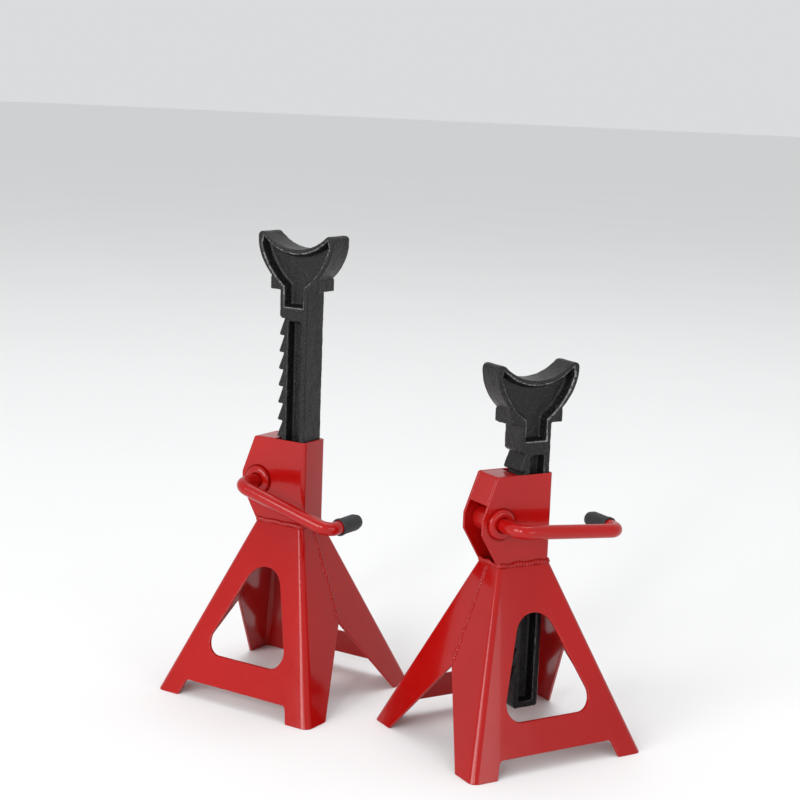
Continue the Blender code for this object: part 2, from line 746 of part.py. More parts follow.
def build_grip(bench, droop, at):
    """The sleeve over the bar's free end, open towards the arm and closed at its tip."""
    low, high = CROSS_END_Y - GRIP_LENGTH, CROSS_END_Y
    angle = math.radians(droop)
    shift = Matrix.Translation((ARM_LENGTH * math.cos(angle), 0, -ARM_LENGTH * math.sin(angle)))
    sleeve = cylinder("grip", GRIP_RADIUS, low, high)
    sleeve.transform(shift)
    bore = cylinder("grip_bore", BAR_RADIUS + FACE_GAP, low - GRIP_LENGTH, high - GRIP_CAP)
    bore.transform(shift)
    grip = bench.part("grip", sleeve, "grip", at)
    soften(grip, GRIP_ROUND, segments=2)
    combine(grip, bench.cutter("cut_grip_bore", bore, at))


# ---------------------------------------------------------------- assembly


def build_stand(bench, detent, droop):
    """All the pieces of one stand."""
    build_leg_frames(bench)
    build_welds(bench)
    build_housing(bench)
    build_front_plate(bench)
    build_boss(bench)
    build_column(bench, detent)
    drill = build_pawl(bench)
    build_handle(bench, drill, droop)


def new_empty(name, parent, group):
    """An empty that carries other objects."""
    empty = bpy.data.objects.new(name, None)
    empty.parent = parent
    group.objects.link(empty)
    return empty


def stand_on_floor(root, parts):
    """Move the pair so that the middle of its footprint box is the origin and its feet are at z = 0."""
    bpy.context.view_layer.update()
    graph = bpy.context.evaluated_depsgraph_get()
    corners = []
    for obj in parts.objects:
        if obj.type == "MESH":
            seen = obj.evaluated_get(graph)
            corners += [seen.matrix_world @ vertex.co for vertex in seen.data.vertices]
    low = [min(corner[k] for corner in corners) for k in range(3)]
    high = [max(corner[k] for corner in corners) for k in range(3)]
    root.location = (-(low[0] + high[0]) / 2, -(low[1] + high[1]) / 2, -low[2])


def main():
    clear_scene()
    parts = new_collection("axle_stand_pair")
    cutters = new_collection("cutters", hidden=True)
    paints = make_paints()
    root = new_empty("pair", None, parts)
    for stand in STANDS:
        foot = new_empty(f"{stand.name}_stand", root, parts)
        foot.location = (*stand.place, 0)
        foot.rotation_euler.z = math.radians(stand.turn)
        build_stand(Bench(parts, cutters, paints, stand.name, foot), stand.detent, stand.droop)
    stand_on_floor(root, parts)


if __name__ == "__main__":
    main()
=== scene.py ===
"""Looks of a pair of ratcheting axle stands.

Each stand has red powder-coated legs and housing of sheet steel, rippled weld beads, a cast black column
with a trough saddle, and a bent bar handle with a rubber grip. Every piece is made in its stand's own frame,
where +Z is up, the teeth face -X and the handle comes out of the -Y cheek, and is then set at its place.
Lengths are in metres and angles in degrees, unless a name says otherwise.
"""

from __future__ import annotations

import json
import logging
import math
from dataclasses import dataclass
from enum import Enum

import bmesh
import bpy
import numpy as np
from mathutils import Euler, Matrix, Vector


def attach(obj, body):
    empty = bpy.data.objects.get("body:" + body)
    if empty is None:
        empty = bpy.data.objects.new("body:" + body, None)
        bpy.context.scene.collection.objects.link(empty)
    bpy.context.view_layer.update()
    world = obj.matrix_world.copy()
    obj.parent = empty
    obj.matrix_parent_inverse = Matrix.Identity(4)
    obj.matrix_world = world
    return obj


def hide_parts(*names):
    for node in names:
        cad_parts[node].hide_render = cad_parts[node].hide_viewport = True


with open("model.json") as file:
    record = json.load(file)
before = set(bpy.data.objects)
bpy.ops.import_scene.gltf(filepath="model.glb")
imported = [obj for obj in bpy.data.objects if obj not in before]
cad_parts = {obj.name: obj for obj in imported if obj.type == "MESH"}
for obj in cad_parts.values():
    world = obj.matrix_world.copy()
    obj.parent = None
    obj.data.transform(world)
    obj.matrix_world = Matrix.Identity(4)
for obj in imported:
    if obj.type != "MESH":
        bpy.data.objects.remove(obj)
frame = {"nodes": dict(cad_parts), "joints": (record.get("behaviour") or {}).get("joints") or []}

RIM_HIGHLIGHT_ATTRIBUTE = "edge"  # how near a casting's point is to a recess's rim, where a highlight is painted
POLE_GAP = 1e-7  # points this near each other are one point
CUT_GAP = 1e-6  # the same, after a boolean
log = logging.getLogger("axle_stands")

Pair = tuple[float, float]
Triple = tuple[float, float, float]
Colour = Triple


class Slot(Enum):
    """Material slots of the record."""

    LEG = "leg_paint"
    HOUSING = "housing_paint"
    WELD = "weld_paint"
    PAWL = "pawl_paint"
    BAR = "bar_paint"
    PIN = "pin_steel"
    CAST = "cast_black"
    RUBBER = "grip_rubber"


class Body(Enum):
    """The moving bodies of one stand, as endings of their names."""

    STAND = "stand"
    COLUMN = "column_body"
    HANDLE = "handle"


class Axis(Enum):
    """Directions that an outline is drawn out along or turned about, with the outline's own two axes."""

    X = (0, 1, 2)
    Y = (1, 0, 2)
    Z = (2, 0, 1)


# ---------------------------------------------------------------- outlines


def arc(centre: Pair, radius: float, start: float, end: float, steps: int) -> np.ndarray:
    """Points of a circle's arc: the centre plus the radius times the cosine and sine of evenly spaced angles.

    Args:
        centre: the circle's middle.
        radius: its radius.
        start: first angle in degrees.
        end: last angle in degrees.
        steps: number of chords.

    Returns:
        An array of steps + 1 points.
    """
    angle = np.radians(np.linspace(start, end, steps + 1))
    return np.stack([centre[0] + radius * np.cos(angle), centre[1] + radius * np.sin(angle)], axis=1)


def parabola(start: Pair, pull: Pair, end: Pair, steps: int) -> np.ndarray:
    """Points of the parabola that leaves start towards pull and reaches end from it.

    Each point is (1 - t)^2 start + 2 t (1 - t) pull + t^2 end, for t from 0 to 1.

    Args:
        start: first point.
        pull: the corner that the curve leans towards.
        end: last point.
        steps: number of chords.

    Returns:
        An array of steps + 1 points.
    """
    t = np.linspace(0, 1, steps + 1)[:, None]
    first, middle, last = (np.array(point) for point in (start, pull, end))
    return (1 - t) ** 2 * first + 2 * t * (1 - t) * middle + t**2 * last


def rounded(corners: list[Triple], steps: int = 8) -> np.ndarray:
    """An outline whose corners are replaced by arcs.

    A corner's arc has its centre on the bisector, at radius / sin(half angle) from the corner, and the spoke
    to its first point turns by the supplement of the corner's angle.

    Args:
        corners: (x, y, radius) of each corner in order.
        steps: chords in each arc.

    Returns:
        The outline's points in the same order.
    """
    found = []
    count = len(corners)
    for i, (x, y, radius) in enumerate(corners):
        here = np.array((x, y))
        if radius <= 0:
            found.append(here[None])
            continue
        before = np.array(corners[i - 1][:2]) - here
        after = np.array(corners[(i + 1) % count][:2]) - here
        before = before / np.linalg.norm(before)
        after = after / np.linalg.norm(after)
        half = math.acos(float(np.clip(before @ after, -1, 1))) / 2
        bisector = (before + after) / np.linalg.norm(before + after)
        centre = here + bisector * (radius / math.sin(half))
        first = here + before * (radius / math.tan(half)) - centre
        bends = float(before[0] * after[1] - before[1] * after[0])
        turn = -math.copysign(math.pi - 2 * half, bends)
        angle = np.linspace(0, turn, steps + 1)
        spokes = np.stack(
            [
                first[0] * np.cos(angle) - first[1] * np.sin(angle),
                first[0] * np.sin(angle) + first[1] * np.cos(angle),
            ],
            axis=1,
        )
        found.append(centre + spokes)
    return np.concatenate(found)


# ---------------------------------------------------------------- surfaces


@dataclass
class Patch:
    """A surface: its points, its four-cornered faces, and any faces with more corners."""

    points: np.ndarray
    quads: np.ndarray
    rims: list[np.ndarray]

    def mesh(self, name: str) -> bpy.types.Mesh:
        """Put the arrays into a new mesh.

        Args:
            name: the mesh's name.

        Returns:
            A smooth-shaded mesh whose faces point out.
        """
        mesh = bpy.data.meshes.new(name)
        if self.rims:
            faces = self.quads.tolist() + [rim.tolist() for rim in self.rims]
            mesh.from_pydata(self.points.tolist(), [], faces)
        else:
            count = len(self.quads)
            mesh.vertices.add(len(self.points))
            mesh.vertices.foreach_set("co", self.points.astype(np.float32).ravel())
            mesh.loops.add(4 * count)
            mesh.loops.foreach_set("vertex_index", self.quads.astype(np.int32).ravel())
            mesh.polygons.add(count)
            mesh.polygons.foreach_set("loop_start", np.arange(0, 4 * count, 4, dtype=np.int32))
            mesh.update(calc_edges=True)
        mesh.shade_smooth()
        return mesh


def grid_quads(rows: int, columns: int, wrap_rows: bool = False, wrap_columns: bool = True) -> np.ndarray:
    """Faces of a grid of points numbered row by row.

    The face at (r, c) has the corners (r, c), (r, c + 1), (r + 1, c + 1) and (r + 1, c), counted round where
    a direction wraps.

    Args:
        rows: number of rings.
        columns: points in a ring.
        wrap_rows: whether the last ring joins the first.
        wrap_columns: whether a ring's last point joins its first.

    Returns:
        An array of faces with four corners each.
    """
    r = np.arange(rows if wrap_rows else rows - 1)[:, None]
    c = np.arange(columns if wrap_columns else columns - 1)[None]
    up, right = (r + 1) % rows, (c + 1) % columns
    corners = (r * columns + c, r * columns + right, up * columns + right, up * columns + c)
    return np.stack(corners, axis=-1).reshape(-1, 4)


def outward(patch: Patch) -> Patch:
    """Turn a closed surface's faces so that they point out.

    The sum of the dot products of each face's middle and its area vector is three times the volume, and it is
    negative when the faces point in.

    Args:
        patch: a closed surface.

    Returns:
        The same surface, turned if it had to be.
    """
    corner = patch.points[patch.quads]
    area = np.cross(corner[:, 2] - corner[:, 0], corner[:, 3] - corner[:, 1]) / 2
    volume = (corner.mean(axis=1) * area).sum()
    for rim in patch.rims:
        ring = patch.points[rim]
        spread = np.cross(ring, np.roll(ring, -1, axis=0)).sum(axis=0) / 2
        volume += ring.mean(axis=0) @ spread
    if volume >= 0:
        return patch
    return Patch(patch.points, patch.quads[:, ::-1], [rim[::-1] for rim in patch.rims])


def through_rings(rings: np.ndarray, loop: bool = False) -> Patch:
    """A closed surface through rings of equally many points.

    The point at (u, v) is point v of ring u, so straight lines join matching points of neighbouring rings.

    Args:
        rings: array of ring, point and coordinate.
        loop: whether the last ring joins the first, which leaves no ends to cap.

    Returns:
        The surface, with a flat cap on each open end.
    """
    rows, columns = rings.shape[:2]
    last = (rows - 1) * columns
    caps = [] if loop else [np.arange(columns)[::-1], np.arange(last, last + columns)]
    return outward(Patch(rings.reshape(-1, 3), grid_quads(rows, columns, wrap_rows=loop), caps))


def drawn_out(outline: np.ndarray, low: float, high: float, axis: Axis) -> Patch:
    """A flat outline drawn out along an axis: the point at (u, v) is outline point v moved to low or high.

    Args:
        outline: the outline's points in the two other axes.
        low: first end.
        high: last end.
        axis: the direction.

    Returns:
        The closed surface.
    """
    along, first, second = axis.value
    rings = np.empty((2, len(outline), 3))
    rings[:, :, first] = outline[:, 0]
    rings[:, :, second] = outline[:, 1]
    rings[:, :, along] = np.array([low, high])[:, None]
    return through_rings(rings)


def turned(profile: np.ndarray, centre: np.ndarray, axis: Axis, steps: int = 64) -> Patch:
    """A profile turned about an axis: the point at (u, v) is radius v at the angle u, at height v.

    Args:
        profile: (radius, height) points of a closed loop that may touch the axis.
        centre: a point that the axis runs through.
        axis: its direction.
        steps: points around.

    Returns:
        The surface, whose poles the caller closes with weld.
    """
    along, first, second = axis.value
    angle = np.linspace(0, 2 * math.pi, steps, endpoint=False)[:, None]
    rings = np.empty((steps, len(profile), 3))
    rings[:, :, first] = centre[first] + profile[:, 0] * np.cos(angle)
    rings[:, :, second] = centre[second] + profile[:, 0] * np.sin(angle)
    rings[:, :, along] = centre[along] + profile[:, 1]
    return outward(Patch(rings.reshape(-1, 3), grid_quads(steps, len(profile), wrap_rows=True), []))


def swept(path: np.ndarray, side: np.ndarray, radii: np.ndarray, sides: int, loop: bool = False) -> Patch:
    """An ellipse carried along a path.

    The point at (u, v) is path point u plus radius a times cos v along the side direction plus radius b times
    sin v along the cross product of the path's own direction and the side direction.

    Args:
        path: the middle line's points.
        side: a direction at each point, square to the path there.
        radii: the two radii at each point.
        sides: points around.
        loop: whether the path closes on itself.

    Returns:
        The closed surface.
    """
    step = np.roll(path, -1, axis=0) - np.roll(path, 1, axis=0) if loop else np.gradient(path, axis=0)
    along = step / np.linalg.norm(step, axis=1, keepdims=True)
    side = side - (side * along).sum(axis=1, keepdims=True) * along
    side = side / np.linalg.norm(side, axis=1, keepdims=True)
    other = np.cross(along, side)
    angle = np.linspace(0, 2 * math.pi, sides, endpoint=False)
    round_x, round_y = np.cos(angle)[None, :, None], np.sin(angle)[None, :, None]
    sideways = round_x * radii[:, None, :1] * side[:, None]
    upwards = round_y * radii[:, None, 1:] * other[:, None]
    return through_rings(path[:, None] + sideways + upwards, loop)


def weld(mesh: bpy.types.Mesh, distance: float = POLE_GAP) -> bpy.types.Mesh:
    """Merge the points that coincide, such as a pole's, and turn the faces out.

    Args:
        mesh: the mesh, which is changed.
        distance: how near two points are when they are one.

    Returns:
        The same mesh.
    """
    work = bmesh.new()
    work.from_mesh(mesh)
    bmesh.ops.remove_doubles(work, verts=work.verts, dist=distance)
    bmesh.ops.recalc_face_normals(work, faces=work.faces)
    work.to_mesh(mesh)
    work.free()
    mesh.shade_smooth()
    return mesh


def carved(solid: Patch, name: str, cuts: list[tuple[str, Patch]]) -> bpy.types.Mesh:
    """A solid with others taken from it or met with it.

    Args:
        solid: the surface to start with.
        name: the new mesh's name.
        cuts: (DIFFERENCE or INTERSECT, surface) pairs in order.

    Returns:
        The resulting mesh.
    """
    scene = bpy.context.scene.collection
    blank = bpy.data.objects.new(name, solid.mesh(name))
    scene.objects.link(blank)
    tools = []
    for i, (operation, patch) in enumerate(cuts):
        tool = bpy.data.objects.new(f"tool_{i}", patch.mesh(f"tool_{i}"))
        scene.objects.link(tool)
        tools.append(tool)
        step = blank.modifiers.new(tool.name, "BOOLEAN")
        step.operation = operation
        step.solver = "EXACT"
        step.object = tool
    seen = blank.evaluated_get(bpy.context.evaluated_depsgraph_get())
    mesh = bpy.data.meshes.new_from_object(seen)
    for spare in (blank, *tools):
        bpy.data.objects.remove(spare, do_unlink=True)
    mesh.name = name
    return weld(mesh, CUT_GAP)


# ---------------------------------------------------------------- distance fields, for the castings


def outline_distance(outline: np.ndarray, x: np.ndarray, y: np.ndarray) -> np.ndarray:
    """Signed distance of a grid's points from an outline, negative inside.

    The distance to each edge is the length from the point to its nearest spot on the edge. A point is inside
    when a ray from it crosses an odd number of edges.

    Args:
        outline: the outline's points.
        x: the grid's values along the first axis.
        y: its values along the second axis.

    Returns:
        An array with one distance for each pair of x and y.
    """
    spot = np.stack(np.meshgrid(x, y, indexing="ij"), axis=-1).reshape(-1, 1, 2)
    ahead = np.roll(outline, -1, axis=0)
    edge = ahead - outline
    arm = spot - outline
    share = np.clip((arm * edge).sum(axis=2) / (edge * edge).sum(axis=1), 0, 1)
    distance = np.linalg.norm(arm - share[:, :, None] * edge, axis=2).min(axis=1)
    straddles = (outline[:, 1] > spot[..., 1]) != (ahead[:, 1] > spot[..., 1])
    rise = np.where(edge[:, 1] == 0, 1, edge[:, 1])
    crossing = outline[:, 0] + (spot[..., 1] - outline[:, 1]) * edge[:, 0] / rise
    inside = (straddles & (spot[..., 0] < crossing)).sum(axis=1) % 2 == 1
    return np.where(inside, -distance, distance).reshape(len(x), len(y))


def meet(a: np.ndarray, b: np.ndarray, radius: float) -> np.ndarray:
    """What lies in both of two solids, with the edge between them rounded.

    It is the greater distance, but where both are within the radius of the surface, the distance from the arc
    that touches both.

    Args:
        a: signed distances from the first solid.
        b: signed distances from the second.
        radius: the rounding's radius.

    Returns:
        Signed distances from the solid that they share.
    """
    corner = np.hypot(np.maximum(a + radius, 0), np.maximum(b + radius, 0))
    return np.minimum(np.maximum(a, b), -radius) + corner


def join(a: np.ndarray, b: np.ndarray, radius: float) -> np.ndarray:
    """What lies in either of two solids, with the hollow between them filled to a radius.

    Args:
        a: signed distances from the first solid.
        b: signed distances from the second.
        radius: the filling's radius.

    Returns:
        Signed distances from both solids together.
    """
    return -meet(-a, -b, radius)


def lumps(shape: tuple[int, ...], cell: float, size: float, seed: int) -> np.ndarray:
    """Smooth random unevenness on a grid.

    Random numbers on a coarse lattice are interpolated along each axis in turn by a smooth step.

    Args:
        shape: the grid's size.
        cell: the grid's spacing.
        size: the lattice's spacing, which is about the size of a lump.
        seed: start of the random numbers.

    Returns:
        An array of values with a spread of about one.
    """
    coarse = [int(count * cell / size) + 3 for count in shape]
    values = np.random.default_rng(seed).standard_normal(coarse)
    for axis, count in enumerate(shape):
        place = np.arange(count) * cell / size
        low = place.astype(int)
        share = place - low
        share = share * share * (3 - 2 * share)
        share = share.reshape([-1 if k == axis else 1 for k in range(3)])
        values = np.take(values, low, axis) * (1 - share) + np.take(values, low + 1, axis) * share
    return values


def skin(field: np.ndarray, low: np.ndarray, cell: float) -> Patch:
    """The surface where a field of signed distances is zero.

    Each cell that the surface passes through gets one point, the mean of the places where its twelve edges
    cross zero, and each grid edge that crosses zero gets a face through its four cells' points.

    Args:
        field: distances on a grid, negative inside the solid.
        low: place of the grid's first point.
        cell: the grid's spacing.

    Returns:
        The closed surface.
    """
    inside = field < 0
    offsets = np.array([(i, j, k) for i in (0, 1) for j in (0, 1) for k in (0, 1)])
    size = np.array(field.shape) - 1
    full = sum(
        inside[i : i + size[0], j : j + size[1], k : k + size[2]].astype(np.int8) for i, j, k in offsets
    )
    active = np.argwhere((full > 0) & (full < len(offsets)))
    value = np.stack([field[tuple((active + offset).T)] for offset in offsets], axis=1)
    total = np.zeros((len(active), 3))
    count = np.zeros((len(active), 1))
    for a in range(len(offsets)):
        for b in range(a + 1, len(offsets)):
            if np.abs(offsets[a] - offsets[b]).sum() != 1:
                continue
            crosses = (value[:, a] < 0) != (value[:, b] < 0)
            gap = np.where(crosses, value[:, a] - value[:, b], 1)
            share = (value[:, a] / gap)[:, None]
            total += np.where(crosses[:, None], offsets[a] + share * (offsets[b] - offsets[a]), 0)
            count += crosses[:, None]
    number = np.full(tuple(size), -1)
    number[tuple(active.T)] = np.arange(len(active))
    quads = [_faces_across(inside, number, axis) for axis in range(3)]
    return Patch(low + cell * (active + total / count), np.concatenate(quads), [])


def _faces_across(inside: np.ndarray, number: np.ndarray, axis: int) -> np.ndarray:
    """Faces across the grid edges that run along one axis and have one end inside the solid.

    Args:
        inside: whether each grid point is in the solid.
        number: the number of each cell's point, or -1.
        axis: the edges' axis.

    Returns:
        An array of faces with four corners each.
    """
    first, second = (axis + 1) % 3, (axis + 2) % 3
    count = inside.shape[axis]
    low = np.take(inside, range(count - 1), axis)
    edges = np.argwhere(low != np.take(inside, range(1, count), axis))
    back = np.zeros((4, 3), int)
    back[[0, 3], first] = 1
    back[[0, 1], second] = 1
    found = np.stack([number[tuple((edges - step).T)] for step in back], axis=1)
    outwards = low[tuple(edges.T)]
    return np.where(outwards[:, None], found, found[:, ::-1])


# ---------------------------------------------------------------- finishes


class Nodes:
    """A short way to wire a material's nodes."""

    MIX_SOCKETS = {"RGBA": (0, 6, 7), "FLOAT": (0, 2, 3)}
    MIX_OUTPUT = {"RGBA": 2, "FLOAT": 0}

    def __init__(self, name: str) -> None:
        """Start a material whose patterns read the object's own coordinates.

        Args:
            name: the material's name.
        """
        self.material = bpy.data.materials.new(name)
        self.material.use_nodes = True
        self.tree = self.material.node_tree
        self.shader = self.tree.nodes["Principled BSDF"]
        self.place = self.tree.nodes.new("ShaderNodeTexCoord").outputs["Object"]

    def add(self, kind: str, settings: dict | None = None, **sockets: object) -> bpy.types.Node:
        """Add a node and fill its sockets.

        Args:
            kind: the node's type without its first part.
            settings: properties of the node itself.
            **sockets: a value or another node's output for each named socket.

        Returns:
            The new node.
        """
        node = self.tree.nodes.new(f"ShaderNode{kind}")
        for name, value in (settings or {}).items():
            setattr(node, name, value)
        for name, value in sockets.items():
            self.fill(node.inputs[name.replace("_", " ")], value)
        return node

    def coat(self, **sockets: object) -> None:
        """Fill the shader's own sockets.

        Args:
            **sockets: a value or a node's output for each named socket.
        """
        for name, value in sockets.items():
            self.fill(self.shader.inputs[name.replace("_", " ")], value)

    def fill(self, socket: bpy.types.NodeSocket, value: object) -> None:
        """Link an output to a socket, or set the socket's own value.

        Args:
            socket: the input to fill.
            value: a node's output or a plain value.
        """
        if isinstance(value, bpy.types.NodeSocket):
            self.tree.links.new(value, socket)
        else:
            socket.default_value = value

    def noise(self, size: float, detail: float = 2.0) -> object:
        """Noise whose lumps are about one size across, in metres.

        Args:
            size: the lumps' size.
            detail: octaves of finer noise on top.

        Returns:
            The noise's value output.
        """
        return self.add("TexNoise", Vector=self.place, Scale=1 / size, Detail=detail).outputs["Fac"]

    def ramp(self, value: object, span: Pair, first: float = 0.0, last: float = 1.0) -> object:
        """Carry a value from one span to another and hold it at the ends.

        Args:
            value: the output to carry.
            span: its values at the two ends.
            first: what the first end becomes.
            last: what the last end becomes.

        Returns:
            The carried value's output.
        """
        sockets = {"From_Min": span[0], "From_Max": span[1], "To_Min": first, "To_Max": last}
        return self.add("MapRange", {"clamp": True}, Value=value, **sockets).outputs["Result"]

    def mix(self, kind: str, share: object, first: object, second: object) -> object:
        """Mix two values.

        Args:
            kind: RGBA for colours or FLOAT for numbers.
            share: how much of the second there is, from 0 to 1.
            first: the value where the share is 0.
            second: the value where it is 1.

        Returns:
            The mixed value's output.
        """
        node = self.add("Mix", {"data_type": kind})
        for index, value in zip(self.MIX_SOCKETS[kind], (share, first, second)):
            self.fill(node.inputs[index], value)
        return node.outputs[self.MIX_OUTPUT[kind]]

    def blend(self, share: object, first: object, second: Colour) -> object:
        """Mix a colour, or a colour's output, with another colour.

        Args:
            share: how much of the second there is, from 0 to 1.
            first: the colour or output where the share is 0.
            second: the colour where it is 1.

        Returns:
            The mixed colour's output.
        """
        start = (*first, 1) if isinstance(first, tuple) else first
        return self.mix("RGBA", share, start, (*second, 1))

    def bump(self, height: object, depth: float, below: object = None) -> object:
        """A bump of a real depth in metres, on top of another bump if one is given.

        Args:
            height: the output that says how high the surface stands, from 0 to 1.
            depth: the height of 1, in metres.
            below: the other bump's output.

        Returns:
            The bumped normal's output.
        """
        node = self.add("Bump", Height=height, Strength=1.0, Distance=depth)
        if below is not None:
            self.fill(node.inputs["Normal"], below)
        return node.outputs["Normal"]


SMEAR = (0.85, 1.25)  # how far a finish's roughness wanders, as factors
MIDDLE_NOISE = (0.3, 0.7)  # the span that holds nearly all of a noise


@dataclass(frozen=True)
class Finish:
    """A named look."""

    name: str

    def material(self) -> bpy.types.Material:
        """Build the finish as a material.

        Returns:
            The new material.
        """
        n = Nodes(self.name)
        self.wire(n)
        return n.material

    def wire(self, n: Nodes) -> None:
        """Wire the finish's patterns into the shader.

        Args:
            n: the material's nodes.
        """
        raise NotImplementedError


@dataclass(frozen=True)
class PowderCoat(Finish):
    """Glossy powder coat: a faint orange peel, slow changes of depth, and a few grains of dust under it."""

    colour: Colour
    shade: Colour
    roughness: float = 0.15
    shine: float = 0.23
    coat: float = 0.28
    coat_roughness: float = 0.045
    cloud_span: Pair = (0.35, 0.65)
    peel_size: float = 0.0022
    peel_depth: float = 0.000012
    sag_size: float = 0.028
    sag_depth: float = 0.00010
    dust_size: float = 0.0016
    dust_span: Pair = (0.74, 0.80)
    dust_depth: float = 0.00003
    grain_size: float = 0.0011
    grain_depth: float = 0.0
    grain_span: Pair = (0.50, 0.74)

    def wire(self, n: Nodes) -> None:
        """Wire the clouds of colour, the smeared gloss and the bumps.

        Args:
            n: the material's nodes.
        """
        drift = n.noise(self.sag_size, 1.0)
        cloud = n.ramp(n.noise(4 * self.sag_size, 3.0), self.cloud_span)
        smear = n.noise(0.4 * self.sag_size, 4.0)
        normal = n.bump(drift, self.sag_depth)
        normal = n.bump(n.noise(self.peel_size, 1.5), self.peel_depth, normal)
        normal = n.bump(n.ramp(n.noise(self.dust_size, 0.0), self.dust_span), self.dust_depth, normal)
        if self.grain_depth:
            grain = n.ramp(n.noise(self.grain_size, 2.0), self.grain_span)
            normal = n.bump(grain, self.grain_depth, normal)
        n.coat(
            Base_Color=n.blend(cloud, self.colour, self.shade),
            Roughness=n.ramp(smear, MIDDLE_NOISE, *(factor * self.roughness for factor in SMEAR)),
            Normal=normal,
            Specular_IOR_Level=self.shine,
            Coat_Weight=self.coat,
            Coat_Roughness=self.coat_roughness,
        )


@dataclass(frozen=True)
class CastBlack(Finish):
    """Satin black paint over a sand casting: grains, pits, and painted highlights in broken lines along the
    recesses' rims.
    """

    colour: Colour = (0.0055, 0.0053, 0.0058)
    thin: Colour = (0.048, 0.047, 0.046)
    # painted highlight: the pale colour laid on the recesses' rims in place of the glints of light there
    painted_rim_highlight: Colour = (0.230, 0.230, 0.235)
    roughness: float = 0.37
    rim_highlight_roughness: float = 0.26
    shine: float = 0.25
    coat: float = 0.08
    coat_roughness: float = 0.22
    grain_size: float = 0.0011
    grain_depth: float = 0.00034
    thin_span: Pair = (0.58, 0.70)
    pit_size: float = 0.0021
    pit_depth: float = 0.00012
    pit_span: Pair = (0.30, 0.55)
    patch_size: float = 0.011
    patch_smear: Pair = (0.8, 1.25)
    edge_span: Pair = (0.15, 0.75)
    break_size: float = 0.0035
    break_span: Pair = (0.40, 0.58)
    least_break: float = 0.25

    def wire(self, n: Nodes) -> None:
        """Wire the thin paint, the painted highlights in broken lines along the rims, the gloss and the
        bumps.

        Args:
            n: the material's nodes.
        """
        grain = n.noise(self.grain_size, 3.0)
        # painted highlight: near the recesses' rims the black is lightened in broken lines, standing in for
        # reflections on the rounded paint edges
        edge = n.add("Attribute", {"attribute_name": RIM_HIGHLIGHT_ATTRIBUTE}).outputs["Fac"]
        broken = n.add("Math", {"operation": "MULTIPLY"})
        n.fill(broken.inputs[0], n.ramp(edge, self.edge_span))
        gaps = n.noise(self.break_size, 3.0)
        n.fill(broken.inputs[1], n.ramp(gaps, self.break_span, self.least_break))
        glint = broken.outputs[0]
        paint = n.blend(n.ramp(grain, self.thin_span), self.colour, self.thin)
        patches = n.noise(self.patch_size, 4.0)
        dull = n.ramp(patches, MIDDLE_NOISE, *(factor * self.roughness for factor in self.patch_smear))
        pits = n.bump(n.ramp(n.noise(self.pit_size, 3.0), self.pit_span), self.pit_depth)
        n.coat(
            Base_Color=n.blend(glint, paint, self.painted_rim_highlight),
            Roughness=n.mix("FLOAT", glint, dull, self.rim_highlight_roughness),
            Normal=n.bump(grain, self.grain_depth, pits),
            Specular_IOR_Level=self.shine,
            Coat_Weight=self.coat,
            Coat_Roughness=self.coat_roughness,
        )


@dataclass(frozen=True)
class Rubber(Finish):
    """Moulded black rubber: a fine matt grain with faint dusty patches."""

    colour: Colour = (0.013, 0.0135, 0.015)
    dusty: Colour = (0.030, 0.031, 0.034)
    roughness: float = 0.56
    shine: float = 0.45
    dust_size: float = 0.004
    dust_span: Pair = (0.48, 0.70)
    grain_size: float = 0.00045
    grain_depth: float = 0.00003

    def wire(self, n: Nodes) -> None:
        """Wire the dusty patches and the grain.

        Args:
            n: the material's nodes.
        """
        dust = n.ramp(n.noise(self.dust_size, 4.0), self.dust_span)
        n.coat(
            Base_Color=n.blend(dust, self.colour, self.dusty),
            Roughness=n.ramp(dust, (0, 1), self.roughness, SMEAR[1] * self.roughness),
            Normal=n.bump(n.noise(self.grain_size, 2.0), self.grain_depth),
            Specular_IOR_Level=self.shine,
        )


@dataclass(frozen=True)
class SprayedSteel(Finish):
    """Spring steel under a thin uneven spray of red."""

    steel: Colour = (0.16, 0.15, 0.15)
    spray: Colour = (0.34, 0.020, 0.016)
    roughness: float = 0.38
    sprayed_roughness: float = 0.30
    metal: float = 0.9
    cover_size: float = 0.0016
    cover_span: Pair = (0.40, 0.52)
    grain_size: float = 0.0009
    grain_depth: float = 0.00004

    def wire(self, n: Nodes) -> None:
        """Wire the spray's cover and the steel's grain.

        Args:
            n: the material's nodes.
        """
        cover = n.ramp(n.noise(self.cover_size, 4.0), self.cover_span)
        n.coat(
            Base_Color=n.blend(cover, self.steel, self.spray),
            Metallic=n.ramp(cover, (0, 1), self.metal, 0.0),
            Roughness=n.ramp(cover, (0, 1), self.roughness, self.sprayed_roughness),
            Normal=n.bump(n.noise(self.grain_size, 3.0), self.grain_depth),
        )


RED: Colour = (0.370, 0.0030, 0.0022)
DEEP_RED: Colour = (0.320, 0.0024, 0.0018)
FINISHES = {
    Slot.LEG: PowderCoat("leg_powder_coat", RED, DEEP_RED),
    Slot.HOUSING: PowderCoat("housing_powder_coat", RED, DEEP_RED, roughness=0.20),
    Slot.WELD: PowderCoat(
        "weld_powder_coat", RED, DEEP_RED, roughness=0.30, grain_size=0.0012, grain_depth=0.00025
    ),
    Slot.PAWL: PowderCoat(
        "casting_powder_coat", RED, DEEP_RED, roughness=0.30, grain_size=0.0009, grain_depth=0.00010
    ),
    Slot.BAR: PowderCoat("bar_powder_coat", RED, DEEP_RED, roughness=0.20, sag_depth=0.00006),
    Slot.PIN: SprayedSteel("sprayed_pin_steel"),
    Slot.CAST: CastBlack("cast_black_paint"),
    Slot.RUBBER: Rubber("grip_rubber_black"),
}


# ---------------------------------------------------------------- places in the shared frame


